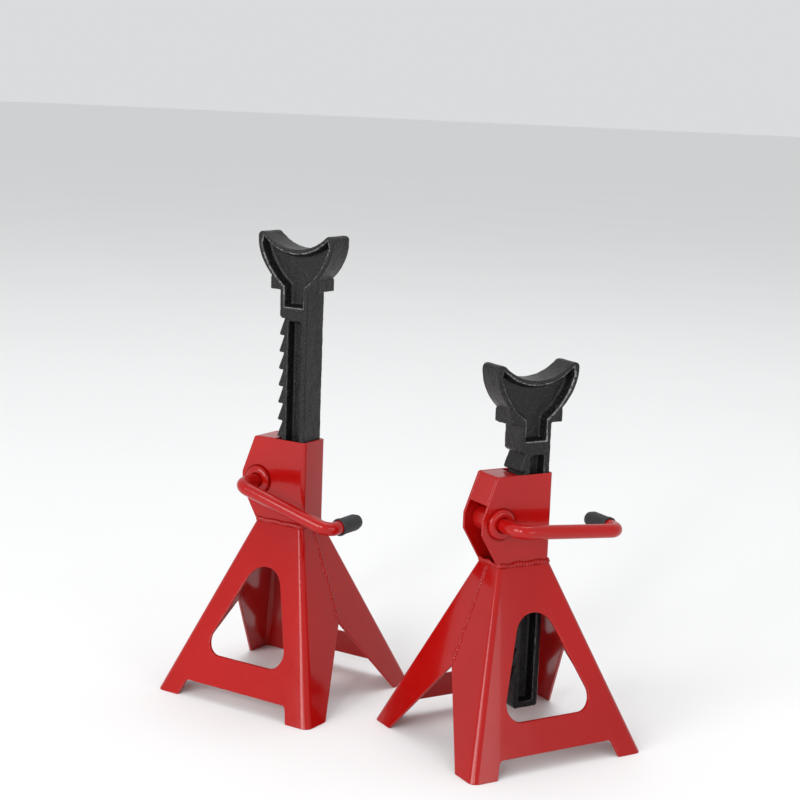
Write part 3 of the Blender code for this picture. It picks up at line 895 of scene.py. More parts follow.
@dataclass(frozen=True)
class Place:
    """Where one stand is: its name, the spot of the floor under its middle, and its turn about +Z."""

    name: str
    spot: np.ndarray
    spin: np.ndarray
    pivot: np.ndarray

    @classmethod
    def of(cls, name: str) -> Place:
        """Read a stand's place from the handle's hinge and the leg frames.

        The hinge's axis is the stand's own -Y. The spot is the middle of both leg frames' box in that frame.

        Args:
            name: left or right.

        Returns:
            The stand's place.
        """
        hinge = next(joint for joint in frame["joints"] if joint["name"] == f"{name}_handle_turn")
        x, y = hinge["axis"][:2]
        spin = np.array([[-y, -x, 0], [x, -y, 0], [0, 0, 1]]) / math.hypot(x, y)
        legs = np.concatenate([points_of(f"{name}_leg_frame_{side}") for side in ("near", "far")]) @ spin
        middle = (legs.min(axis=0) + legs.max(axis=0)) / 2
        middle[2] = legs[:, 2].min()
        spot = spin @ middle
        pivot = (np.array(hinge["pos_m"]) - spot) @ spin
        return cls(name, spot, spin, pivot)

    def box(self, part: str) -> np.ndarray:
        """Box of one of the stand's nodes, in the stand's own frame.

        Args:
            part: the node's name without the stand's.

        Returns:
            The lowest and the highest corner.
        """
        own = (points_of(f"{self.name}_{part}") - self.spot) @ self.spin
        return np.array([own.min(axis=0), own.max(axis=0)])

    def matrix(self) -> Matrix:
        """The change from the stand's own frame to the shared one.

        Returns:
            A matrix of four rows.
        """
        return Matrix.Translation(Vector(self.spot)) @ Matrix(self.spin.tolist()).to_4x4()


def points_of(node: str) -> np.ndarray:
    """Places of all of a node's points in the shared frame.

    Args:
        node: the CAD node's name.

    Returns:
        An array of points.
    """
    vertices = frame["nodes"][node].data.vertices
    found = np.empty(len(vertices) * 3, np.float32)
    vertices.foreach_get("co", found)
    return found.reshape(-1, 3).astype(float)


@dataclass
class Bench:
    """Where one stand's pieces are finished: its place and the materials."""

    place: Place
    paints: dict[Slot, bpy.types.Material]
    edge_segments: int = 3
    sharp_angle: float = 32

    def finish(
        self, name: str, mesh: bpy.types.Mesh, slot: Slot, body: Body, node: str, edge: float = 0.0
    ) -> None:
        """Set a piece at its place, dress it, and let it ride on its body.

        Args:
            name: what the piece is called.
            mesh: its surface in the stand's own frame.
            slot: the record's material slot.
            body: the body that it moves with.
            node: the CAD node that it stands for.
            edge: width of the rounding on sharp edges, or 0 for none.
        """
        mesh.transform(self.place.matrix())
        mesh.materials.clear()
        mesh.materials.append(self.paints[slot])
        piece = bpy.data.objects.new(f"{self.place.name}_{name}", mesh)
        bpy.context.scene.collection.objects.link(piece)
        if edge:
            step = piece.modifiers.new("edges", "BEVEL")
            step.width = edge
            step.segments = self.edge_segments
            step.limit_method = "ANGLE"
            step.angle_limit = math.radians(self.sharp_angle)
            step.harden_normals = True
        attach(piece, f"{self.place.name}_{body.value}")
        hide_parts(f"{self.place.name}_{node}")
        log.info("%s: %d faces on %s_%s", piece.name, len(mesh.polygons), self.place.name, body.value)


# ---------------------------------------------------------------- legs and welds


@dataclass
class LegFrames:
    """Two pressed frames of sheet, set face to face, with beads along their seams and round their top."""

    sheet: float = 0.0025
    bend_low: float = 0.0065
    bend_high: float = 0.0042
    bend_steps: int = 14
    seam_gap: float = 0.0002
    seam_end: float = 0.064
    seam_run_on: float = 0.01
    foot_inner: float = 0.0245
    foot_width: float = 0.0222
    arch_height: float = 0.0125
    arch_lean: float = 0.0048
    arch_radius: float = 0.004
    arch_run_on: float = 0.8
    window_bottom: float = 0.035
    window_half: float = 0.0423
    window_lean: float = 0.42
    window_top_radius: float = 0.018
    window_low_radius: float = 0.0115
    top_margin: float = 0.0006
    edge: float = 0.0007
    bead_start: float = 0.003
    bead_half_width: float = 0.0021
    bead_rise: float = 0.0015
    bead_sink: float = 0.0002
    bead_end: float = 0.05
    bead_sides: int = 20
    seam_rings: int = 260
    seam_wander: float = 0.0003
    seam_knots: int = 14
    seam_seed: int = 11
    collar_half_height: float = 0.0021
    collar_rise: float = 0.0014
    collar_corner: float = 0.0028
    collar_drop: float = 0.0003
    collar_wave: float = 0.00035
    collar_waves: int = 9
    collar_rings: int = 760
    collar_seed: int = 29
    ripple: float = 0.0024
    ripple_jitter: float = 0.25
    ripple_fall: float = 0.42
    slow_wave: float = 0.16
    half: Pair = (0.0, 0.0)
    top_half: Pair = (0.0, 0.0)
    height: float = 0.0

    def measure(self, place: Place) -> None:
        """Take the overall sizes from the frame.

        Args:
            place: where the stand is.
        """
        near, far, housing = (place.box(part) for part in ("leg_frame_near", "leg_frame_far", "housing"))
        self.half = (near[1, 0], far[1, 1])
        self.height = near[1, 2]
        self.top_half = (housing[1, 0] + self.top_margin, housing[1, 1] + self.top_margin)

    def section(self, half: Pair, bend: float) -> np.ndarray:
        """Plan section at one height: out along one flange, round both bends, and back inside.

        Args:
            half: half of the frame's outer size there.
            bend: outside radius of its two bends.

        Returns:
            The section's points.
        """
        wall = [self.sheet * math.hypot(1, (self.half[k] - self.top_half[k]) / self.height) for k in (0, 1)]
        outer = [np.array([[-half[0], -self.seam_gap]])]
        inner = [np.array([[wall[0] - half[0], -self.seam_gap]])]
        for side, start in ((-1, 180), (1, 270)):
            ray = arc((0, 0), 1, start, start + 90, self.bend_steps)
            centre = np.array([side * (half[0] - bend), bend - half[1]])
            outer.append(centre + bend * ray)
            inner.append(centre + ray * (bend - wall[0], bend - wall[1]))
        outer.append(np.array([[half[0], -self.seam_gap]]))
        inner.append(np.array([[half[0] - wall[0], -self.seam_gap]]))
        return np.concatenate([*outer, np.concatenate(inner)[::-1]])

    def sheet_patch(self) -> Patch:
        """The bent sheet: its section at the floor carried in straight lines to its section at the top.

        Returns:
            The sheet's surface.
        """
        low = self.section(self.half, self.bend_low)
        high = self.section(self.top_half, self.bend_high)
        levels = ((low, 0.0), (high, self.height))
        rings = [np.column_stack([ring, np.full(len(ring), z)]) for ring, z in levels]
        return through_rings(np.array(rings))

    def window(self) -> np.ndarray:
        """Outline of the triangular window with its round corners.

        Returns:
            The outline's points.
        """
        peak = self.window_bottom + self.window_half / self.window_lean
        low = self.window_low_radius
        corners = [(side * self.window_half, self.window_bottom, low) for side in (-1, 1)]
        return rounded([*corners, (0, peak, self.window_top_radius)], steps=18)

    def arch(self) -> np.ndarray:
        """Outline of the low arch between a frame's two feet, run on below the floor.

        Returns:
            The outline's points.
        """
        inner = self.half[0] - self.foot_width
        flare = self.arch_lean * self.arch_run_on
        below = -self.arch_run_on * self.arch_height
        corners = [(-inner - flare, below, 0), (inner + flare, below, 0)]
        for side in (1, -1):
            corners.append((side * (inner - self.arch_lean), self.arch_height, self.arch_radius))
        return rounded(corners)

    def flange_gap(self) -> np.ndarray:
        """Outline of half of the inverted V between a near foot and a far foot.

        Returns:
            The outline's points.
        """
        foot = self.foot_inner - self.half[1]
        past = self.seam_run_on
        low = [(foot * (1 + past / self.seam_end), -past), (past, -past)]
        return np.array([*low, (past, self.seam_end), (0, self.seam_end)])

    def build(self, bench: Bench) -> None:
        """Make both frames and their welds.

        Args:
            bench: where the stand's pieces are finished.
        """
        self.measure(bench.place)
        across, through = 2 * self.half[0], 2 * self.half[1]
        cuts = [
            ("DIFFERENCE", drawn_out(self.window(), -through, 0, Axis.Y)),
            ("DIFFERENCE", drawn_out(self.arch(), -through, 0, Axis.Y)),
            ("DIFFERENCE", drawn_out(self.flange_gap(), -across, across, Axis.X)),
        ]
        near = carved(self.sheet_patch(), "near_leg_sheet", cuts)
        far = near.copy()
        far.transform(Matrix.Rotation(math.pi, 4, "Z"))
        bench.finish("near_leg_sheet", near, Slot.LEG, Body.STAND, "leg_frame_near", self.edge)
        bench.finish("far_leg_sheet", far, Slot.LEG, Body.STAND, "leg_frame_far", self.edge)
        self.build_seams(bench)
        self.build_collar(bench)

    def ripples(self, run: np.ndarray, seed: int) -> np.ndarray:
        """Height of a hand-laid bead along its run.

        Each ripple swells as one minus the square of the way through it, and a slow random wave is added.

        Args:
            run: distance along the bead at each point.
            seed: start of the random numbers.

        Returns:
            A factor for the bead's size at each point.
        """
        rng = np.random.default_rng(seed)
        knots = np.arange(0, run[-1] + 2 * self.ripple, self.ripple)
        jitter = np.cumsum(1 + self.ripple_jitter * rng.uniform(-1, 1, len(knots))) * self.ripple
        index = np.clip(np.searchsorted(jitter, run, side="right"), 1, len(jitter) - 1)
        way = (run - jitter[index - 1]) / (jitter[index] - jitter[index - 1])
        scale = 1 - self.ripple_fall * np.clip(way, 0, 1) ** 2
        slow = np.interp(run, knots, rng.uniform(-self.slow_wave, self.slow_wave, len(knots)))
        return scale + slow

    def build_seams(self, bench: Bench) -> None:
        """The upright beads where the two frames' flanges meet, tapering out at both ends.

        Args:
            bench: where the stand's pieces are finished.
        """
        lean = (self.half[0] - self.top_half[0]) / self.height
        for number, (name, side) in enumerate((("nose", -1), ("back", 1))):
            z = np.linspace(self.seam_end + self.bead_start, self.height, self.seam_rings)
            run = (z - z[0]) * math.hypot(1, lean)
            swell = self.ripples(run, self.seam_seed + number + len(bench.place.name))
            ends = np.clip(np.minimum(run, run[-1] - run) / self.ripple, self.bead_end, 1) ** 0.5
            knots = np.linspace(0, run[-1], self.seam_knots)
            swings = np.sin(np.arange(self.seam_knots) * 2.1 + number)
            wander = self.seam_wander * np.interp(run, knots, swings)
            path = np.stack([side * (self.half[0] - lean * z - self.bead_sink), wander, z], axis=1)
            across = np.tile([0.0, 1.0, 0.0], (len(z), 1))
            radii = np.stack([self.bead_half_width * swell * ends, self.bead_rise * swell * ends], axis=1)
            mesh = swept(path, across, radii, self.bead_sides).mesh("seam_bead")
            bench.finish(f"{name}_seam_bead", mesh, Slot.WELD, Body.STAND, f"weld_seam_{name}")

    def build_collar(self, bench: Bench) -> None:
        """The bead round the legs' top: an ellipse carried round a rounded rectangle, swelling in ripples.

        Args:
            bench: where the stand's pieces are finished.
        """
        x, y = (size - self.top_margin - self.bead_sink for size in self.top_half)
        corner = self.collar_corner
        loop = rounded([(-x, -y, corner), (x, -y, corner), (x, y, corner), (-x, y, corner)], steps=6)
        closed = np.vstack([loop, loop[:1]])
        length = np.concatenate([[0], np.cumsum(np.linalg.norm(np.diff(closed, axis=0), axis=1))])
        run = np.linspace(0, length[-1], self.collar_rings, endpoint=False)
        flat = np.stack([np.interp(run, length, closed[:, k]) for k in (0, 1)], axis=1)
        swell = self.ripples(run, self.collar_seed + len(bench.place.name))
        middle = (self.height + bench.place.box("housing")[0, 2]) / 2
        wave = np.sin(run * 2 * math.pi * self.collar_waves / length[-1])
        z = middle - self.collar_drop + self.collar_wave * wave
        path = np.column_stack([flat, z])
        up = np.tile([0.0, 0.0, 1.0], (len(run), 1))
        radii = np.stack([self.collar_half_height * swell, self.collar_rise * swell], axis=1)
        mesh = swept(path, up, radii, self.bead_sides, loop=True).mesh("collar_bead")
        bench.finish("collar_bead", mesh, Slot.WELD, Body.STAND, "weld_collar")


# ---------------------------------------------------------------- housing


@dataclass
class Housing:
    """A shell folded from sheet, a bent front plate between its cheeks, and a ring round the bar."""

    sheet: float = 0.0025
    inner_bend: float = 0.0006
    bend_steps: int = 12
    front_reach: float = 0.0043
    nose_reach: float = 0.0162
    nose_high: float = 0.0310
    nose_low: float = 0.0435
    nose_radius: float = 0.0024
    cheek_foot: float = -0.0240
    plate_drop: float = 0.0214
    plate_bend: float = 0.0024
    plate_gap: float = 0.00025
    bore_gap: float = 0.0004
    bore_steps: int = 48
    sink: float = 0.0016
    spare: float = 0.01
    edge: float = 0.0011
    boss_sink: float = 0.0002
    boss_lip: float = 0.0007
    boss_shoulder: float = 0.0030
    boss_shoulder_radius: float = 0.004
    boss_steps: int = 96

    def section(self, back: float, half: float, front: float) -> np.ndarray:
        """Plan section of the folded shell: a back wall and two cheeks.

        Args:
            back: the back wall's outer face.
            half: the cheeks' outer faces, from the middle.
            front: where the cheeks end.

        Returns:
            The section's points.
        """
        fold = self.sheet + self.inner_bend
        outer = rounded([(back, -half, fold), (back, half, fold), (front, half, 0)], self.bend_steps)[:-1]
        wall, inner, bend = back - self.sheet, half - self.sheet, self.inner_bend
        hollow = rounded([(front, inner, 0), (wall, inner, bend), (wall, -inner, bend), (front, -inner, 0)])
        return np.concatenate([outer, [(front, half)], hollow, [(front, -half)]])

    def cheek(self, bottom: float, top: float, pivot: float) -> np.ndarray:
        """Side outline of the housing with its nose.

        Args:
            bottom: the housing's lower edge.
            top: its upper edge.
            pivot: the bar's middle along X.

        Returns:
            The outline's points.
        """
        beyond = 0.1
        radius = self.nose_radius
        return rounded(
            [
                (self.cheek_foot, bottom, 0),
                (beyond, bottom, 0),
                (beyond, top, 0),
                (pivot - self.front_reach, top, radius),
                (pivot - self.nose_reach, top - self.nose_high, radius),
                (pivot - self.nose_reach, top - self.nose_low, radius),
            ]
        )

    def plate(self, top: float, pivot: float, shelf_end: float) -> np.ndarray:
        """Side outline of the front plate: a level shelf and a leg along the cheeks' front edges.

        Args:
            top: the shelf's upper face.
            pivot: the bar's middle along X.
            shelf_end: where the shelf ends.

        Returns:
            The outline's points.
        """
        corner = pivot - self.front_reach
        lean = (self.nose_reach - self.front_reach) / self.nose_high
        wall = self.sheet * math.hypot(1, lean)
        foot = corner - lean * self.plate_drop
        low = top - self.plate_drop
        return rounded(
            [
                (foot, low, 0),
                (foot + wall, low, 0),
                (corner - lean * self.sheet + wall, top - self.sheet, self.inner_bend),
                (shelf_end, top - self.sheet, 0),
                (shelf_end, top, 0),
                (corner, top, self.plate_bend),
            ]
        )

    def build(self, bench: Bench) -> None:
        """Make the shell, the plate and the ring.

        Args:
            bench: where the stand's pieces are finished.
        """
        place = bench.place
        box, pivot = place.box("housing"), place.pivot
        bottom, top, half = box[0, 2] - self.sink, box[1, 2], box[1, 1]
        front = pivot[0] - 2 * self.nose_reach
        section = self.section(box[1, 0], half, front)
        shell = drawn_out(section, bottom - self.spare, top + self.spare, Axis.Z)
        hole = arc((pivot[0], pivot[2]), self.bore_radius(place), 0, 360, self.bore_steps)[:-1]
        cuts = [
            ("INTERSECT", drawn_out(self.cheek(bottom, top, pivot[0]), -2 * half, 2 * half, Axis.Y)),
            ("DIFFERENCE", drawn_out(hole, -2 * half, 2 * half, Axis.Y)),
        ]
        folded = carved(shell, "folded_housing", cuts)
        bench.finish("folded_housing", folded, Slot.HOUSING, Body.STAND, "housing", self.edge)
        width = half - self.sheet - self.plate_gap
        side = self.plate(top, pivot[0], place.box("front_plate")[1, 0])
        plate = drawn_out(side, -width, width, Axis.Y).mesh("bent_front_plate")
        bench.finish("bent_front_plate", plate, Slot.HOUSING, Body.STAND, "front_plate", self.edge)
        self.build_boss(bench)

    def bore_radius(self, place: Place) -> float:
        """Radius of the holes that the bar turns in.

        Args:
            place: where the stand is.

        Returns:
            The radius.
        """
        bar = place.box("handle_bar")
        return (place.pivot[0] - bar[0, 0]) + self.bore_gap

    def build_boss(self, bench: Bench) -> None:
        """The ring: a rectangle with a wide round shoulder, turned about the bar.

        Args:
            bench: where the stand's pieces are finished.
        """
        place = bench.place
        box = place.box("pivot_boss")
        radius = (box[1, 0] - box[0, 0]) / 2
        inner = self.bore_radius(place)
        depth = box[1, 1] - box[0, 1] + self.boss_sink
        shoulder = (radius - self.boss_shoulder, -depth, self.boss_shoulder_radius)
        corners = [(inner, 0, 0), (inner, -depth, self.boss_lip), shoulder, (radius, 0, 0)]
        centre = np.array([place.pivot[0], box[1, 1] + self.boss_sink, place.pivot[2]])
        ring = turned(rounded(corners, steps=9), centre, Axis.Y, self.boss_steps)
        bench.finish("pivot_ring", ring.mesh("pivot_ring"), Slot.HOUSING, Body.STAND, "pivot_boss")


# ---------------------------------------------------------------- column


@dataclass
class Column:
    """The casting: a toothed and grooved bar, a neck with lugs, and a saddle with a pocket on each side."""

    depth: float = 0.0267
    tooth_depth: float = 0.0048
    tooth_pitch: float = 0.01378
    tooth_land: float = 0.0010
    tail: float = 0.0210
    groove_flange: float = 0.0040
    groove_back_flange: float = 0.0050
    groove_draft: float = 0.0010
    groove_end: float = 0.005
    groove_top: float = 0.0015
    groove_radius: float = 0.002
    pocket_depth: float = 0.0080
    pocket_draft: float = 0.0022
    collar_chamfer: float = 0.0020
    foot_chamfer: float = 0.0015
    lug_bottom: float = 0.0225
    lug_top: float = 0.0330
    lug_half: float = 0.0230
    lug_step: float = 0.0010
    flank_pull: float = 0.0460
    flank_top: float = 0.0615
    flank_steps: int = 16
    horn_half: float = 0.0364
    horn_top: float = 0.0678
    horn_radius: float = 0.0040
    horn_turn: float = 100
    horn_steps: int = 8
    trough_bottom: float = 0.0553
    trough_radius: float = 0.044
    trough_half: float = 0.0300
    trough_steps: int = 18
    rim: float = 0.0036
    pocket_bottom: float = 0.009
    pocket_neck: float = 0.0095
    pocket_shoulder: float = 0.0255
    pocket_pull: Pair = (0.0270, 0.0380)
    pocket_corner: float = 0.0585
    pocket_inset: float = 0.0016
    pocket_steps: int = 14
    edge_radius: float = 0.0010
    rim_radius: float = 0.0007
    hollow_radius: float = 0.0014
    cell: float = 0.0007
    lump_height: float = 0.00008
    lump_size: float = 0.0042
    fine_lump_size: float = 0.0019
    fine_lump_share: float = 0.6
    scab_size: float = 0.0026
    scab_level: float = 1.1
    scab_depth: float = 0.00045
    scab_reach: float = 0.002
    proud: float = 0.0002
    glint: float = 0.0009
    glint_depth: float = 1.6
    groove_glint: float = 0.4
    half: np.ndarray | None = None
    teeth: int = 0

    def measure(self, box: np.ndarray) -> None:
        """Take the bar's width and number of teeth from the frame's box of the casting.

        Args:
            box: the box's lowest and highest corner.
        """
        self.half = np.array([self.depth / 2, box[1, 1]])
        length = box[1, 2] - box[0, 2] - self.horn_top
        self.teeth = round((length - self.tail) / self.tooth_pitch)

    def teeth_outline(self) -> np.ndarray:
        """The toothed side from the collar down: each tooth slopes out to its tip and is flat beneath.

        Returns:
            The outline's points.
        """
        tip, root = -self.half[0], self.tooth_depth - self.half[0]
        under = -np.arange(1, self.teeth + 1) * self.tooth_pitch
        rows = [
            np.stack([np.full_like(under, tip), under + self.tooth_land], axis=1),
            np.stack([np.full_like(under, tip + self.tooth_land), under], axis=1),
            np.stack([np.full_like(under, root), under], axis=1),
        ]
        top = [(tip, self.collar_chamfer), (tip + self.collar_chamfer, 0), (root, 0)]
        return np.concatenate([top, np.stack(rows, axis=1).reshape(-1, 2)])

    def trough_rise(self, x: np.ndarray) -> np.ndarray:
        """Height of the trough's circle above its lowest point.

        Args:
            x: distances from the middle.

        Returns:
            A height for each distance.
        """
        return self.trough_radius - np.sqrt(self.trough_radius**2 - x * x)

    def outline(self) -> np.ndarray:
        """Side outline of the whole casting, counter-clockwise from its lower back corner.

        Returns:
            The outline's points.
        """
        start = (self.lug_half - self.lug_step, self.lug_top)
        pull = (self.horn_half - self.lug_step, self.flank_pull)
        flank = parabola(start, pull, (self.horn_half, self.flank_top), self.flank_steps)
        round_of = (self.horn_half - self.horn_radius, self.horn_top - self.horn_radius)
        tip = arc(round_of, self.horn_radius, 0, self.horn_turn, self.horn_steps)
        reach = np.linspace(self.trough_half, 0, self.trough_steps)
        trough = np.stack([reach, self.trough_bottom + self.trough_rise(reach)], axis=1)
        lug = [(self.lug_half, self.lug_bottom), (self.lug_half, self.lug_top)]
        right = np.concatenate([lug, flank, tip, trough])
        left = (right[:-1] * (-1, 1))[::-1]
        foot = -(self.teeth * self.tooth_pitch + self.tail)
        back, cut = self.half[0], self.foot_chamfer
        root = self.tooth_depth - self.half[0]
        below = [(back - cut, foot), (back, foot + cut), (back, self.lug_bottom)]
        front = [(-self.half[0], self.lug_bottom)]
        toe = [(root, foot + cut), (root + cut, foot)]
        return np.concatenate([below, right, left, front, self.teeth_outline(), toe])

    def pocket(self) -> np.ndarray:
        """Face outline of the pocket under the trough, narrowing to the neck.

        Returns:
            The outline's points.
        """
        wide = self.horn_half - self.rim
        start, end = (self.pocket_neck, self.pocket_shoulder), (wide, self.pocket_corner)
        right = parabola(start, self.pocket_pull, end, self.pocket_steps)
        reach = np.linspace(wide - self.pocket_inset, 0, self.pocket_steps)
        top = np.stack([reach, self.trough_bottom - self.rim + self.trough_rise(reach)], axis=1)
        half = np.concatenate([[(self.pocket_neck, self.pocket_bottom)], right, top])
        return np.concatenate([half, (half[:-1] * (-1, 1))[::-1]])

    def groove(self) -> np.ndarray:
        """Face outline of the long groove between the toothed flange and the back flange.

        Returns:
            The outline's points.
        """
        left = self.tooth_depth - self.half[0] + self.groove_flange
        right = self.half[0] - self.groove_back_flange
        low = self.groove_end - self.teeth * self.tooth_pitch - self.tail
        top, radius = -self.groove_top, self.groove_radius
        return rounded([(left, low, radius), (right, low, radius), (right, top, radius), (left, top, radius)])

    def field(self) -> tuple[np.ndarray, np.ndarray]:
        """Signed distances of the casting on a grid, and the place of the grid's first point.

        The solid is the outline met with the two faces. A recess is its own outline, drawn in with depth by
        the draft, met with its floor, and is taken away from each face. Random lumps are added to the
        distance, with coarser scabs in the recesses, where the sand of the mould breaks. No lump stands
        further out of a face than the proud size, so that the bar runs free in the housing.

        Returns:
            The field and its first place, in the casting's own frame.
        """
        outline = self.outline()
        pad = 3 * self.cell
        low = np.array([outline[:, 0].min(), -self.half[1], outline[:, 1].min()]) - pad
        high = np.array([outline[:, 0].max(), self.half[1], outline[:, 1].max()]) + pad
        x, y, z = (np.arange(low[k], high[k] + self.cell, self.cell) for k in range(3))
        depth = (self.half[1] - np.abs(y))[None, :, None]
        side = outline_distance(outline, x, z)[:, None, :]
        field = meet(side, -depth + 0 * x[:, None, None], self.edge_radius)
        shape = field.shape
        sunk = np.zeros(shape)
        for recess, draft in ((self.pocket(), self.pocket_draft), (self.groove(), self.groove_draft)):
            slope = draft / self.pocket_depth
            walls = (outline_distance(recess, x, z)[:, None, :] + slope * depth) / math.hypot(1, slope)
            hollow = meet(walls, depth - self.pocket_depth + 0 * walls, self.hollow_radius)
            field = meet(field, -hollow, self.rim_radius)
            sunk = np.maximum(sunk, np.clip(1 - np.abs(hollow) / self.scab_reach, 0, 1))
        coarse = lumps(shape, self.cell, self.lump_size, seed=3)
        uneven = coarse + self.fine_lump_share * lumps(shape, self.cell, self.fine_lump_size, seed=4)
        scabs = np.maximum(lumps(shape, self.cell, self.scab_size, seed=5) - self.scab_level, 0)
        field = field + self.lump_height * uneven - self.scab_depth * scabs * sunk
        reach = self.half + self.proud
        across = (np.abs(y) - reach[1])[None, :, None]
        behind = np.where(z < self.lug_bottom, x[:, None] - reach[0], -1.0)[:, None, :]
        return np.maximum(field, np.maximum(across, behind)), low

    def rim_painted_highlight(self, points: np.ndarray, low: np.ndarray) -> np.ndarray:
        """How near each point is to a recess's rim, which sets where the casting's highlight is painted.

        The value falls evenly from 1 on the recess's outline to 0 a glint's width away, and is 0 below the
        face.

        Args:
            points: places in the casting's own frame.
            low: the grid's first point.

        Returns:
            One value for each point.
        """
        index = np.round((points - low) / self.cell).astype(int)
        x, z = (low[k] + self.cell * np.arange(index[:, k].max() + 1) for k in (0, 2))
        near_face = np.clip(self.glint_depth - (self.half[1] - np.abs(points[:, 1])) / self.glint, 0, 1)
        found = np.zeros(len(points))
        for recess, weight in ((self.pocket(), 1.0), (self.groove(), self.groove_glint)):
            away = np.abs(outline_distance(recess, x, z)[index[:, 0], index[:, 2]])
            found = np.maximum(found, weight * np.clip(1 - away / self.glint, 0, 1))
        return found * near_face

    def build(self, bench: Bench) -> None:
        """Make the casting where the frame has it.

        Args:
            bench: where the stand's pieces are finished.
        """
        box = bench.place.box("column")
        self.measure(box)
        field, low = self.field()
        patch = skin(field, low, self.cell)
        # painted highlight: how strongly each point is lightened along the recesses' rims
        rims = self.rim_painted_highlight(patch.points, low)
        middle = (box[0] + box[1]) / 2
        patch.points += np.array([middle[0], 0, box[1, 2] - self.horn_top])
        mesh = patch.mesh("cast_column")
        highlight_layer = mesh.attributes.new(RIM_HIGHLIGHT_ATTRIBUTE, "FLOAT", "POINT")
        highlight_layer.data.foreach_set("value", rims.astype(np.float32))
        bench.finish("cast_column", mesh, Slot.CAST, Body.COLUMN, "column")


# ---------------------------------------------------------------- handle and pawl


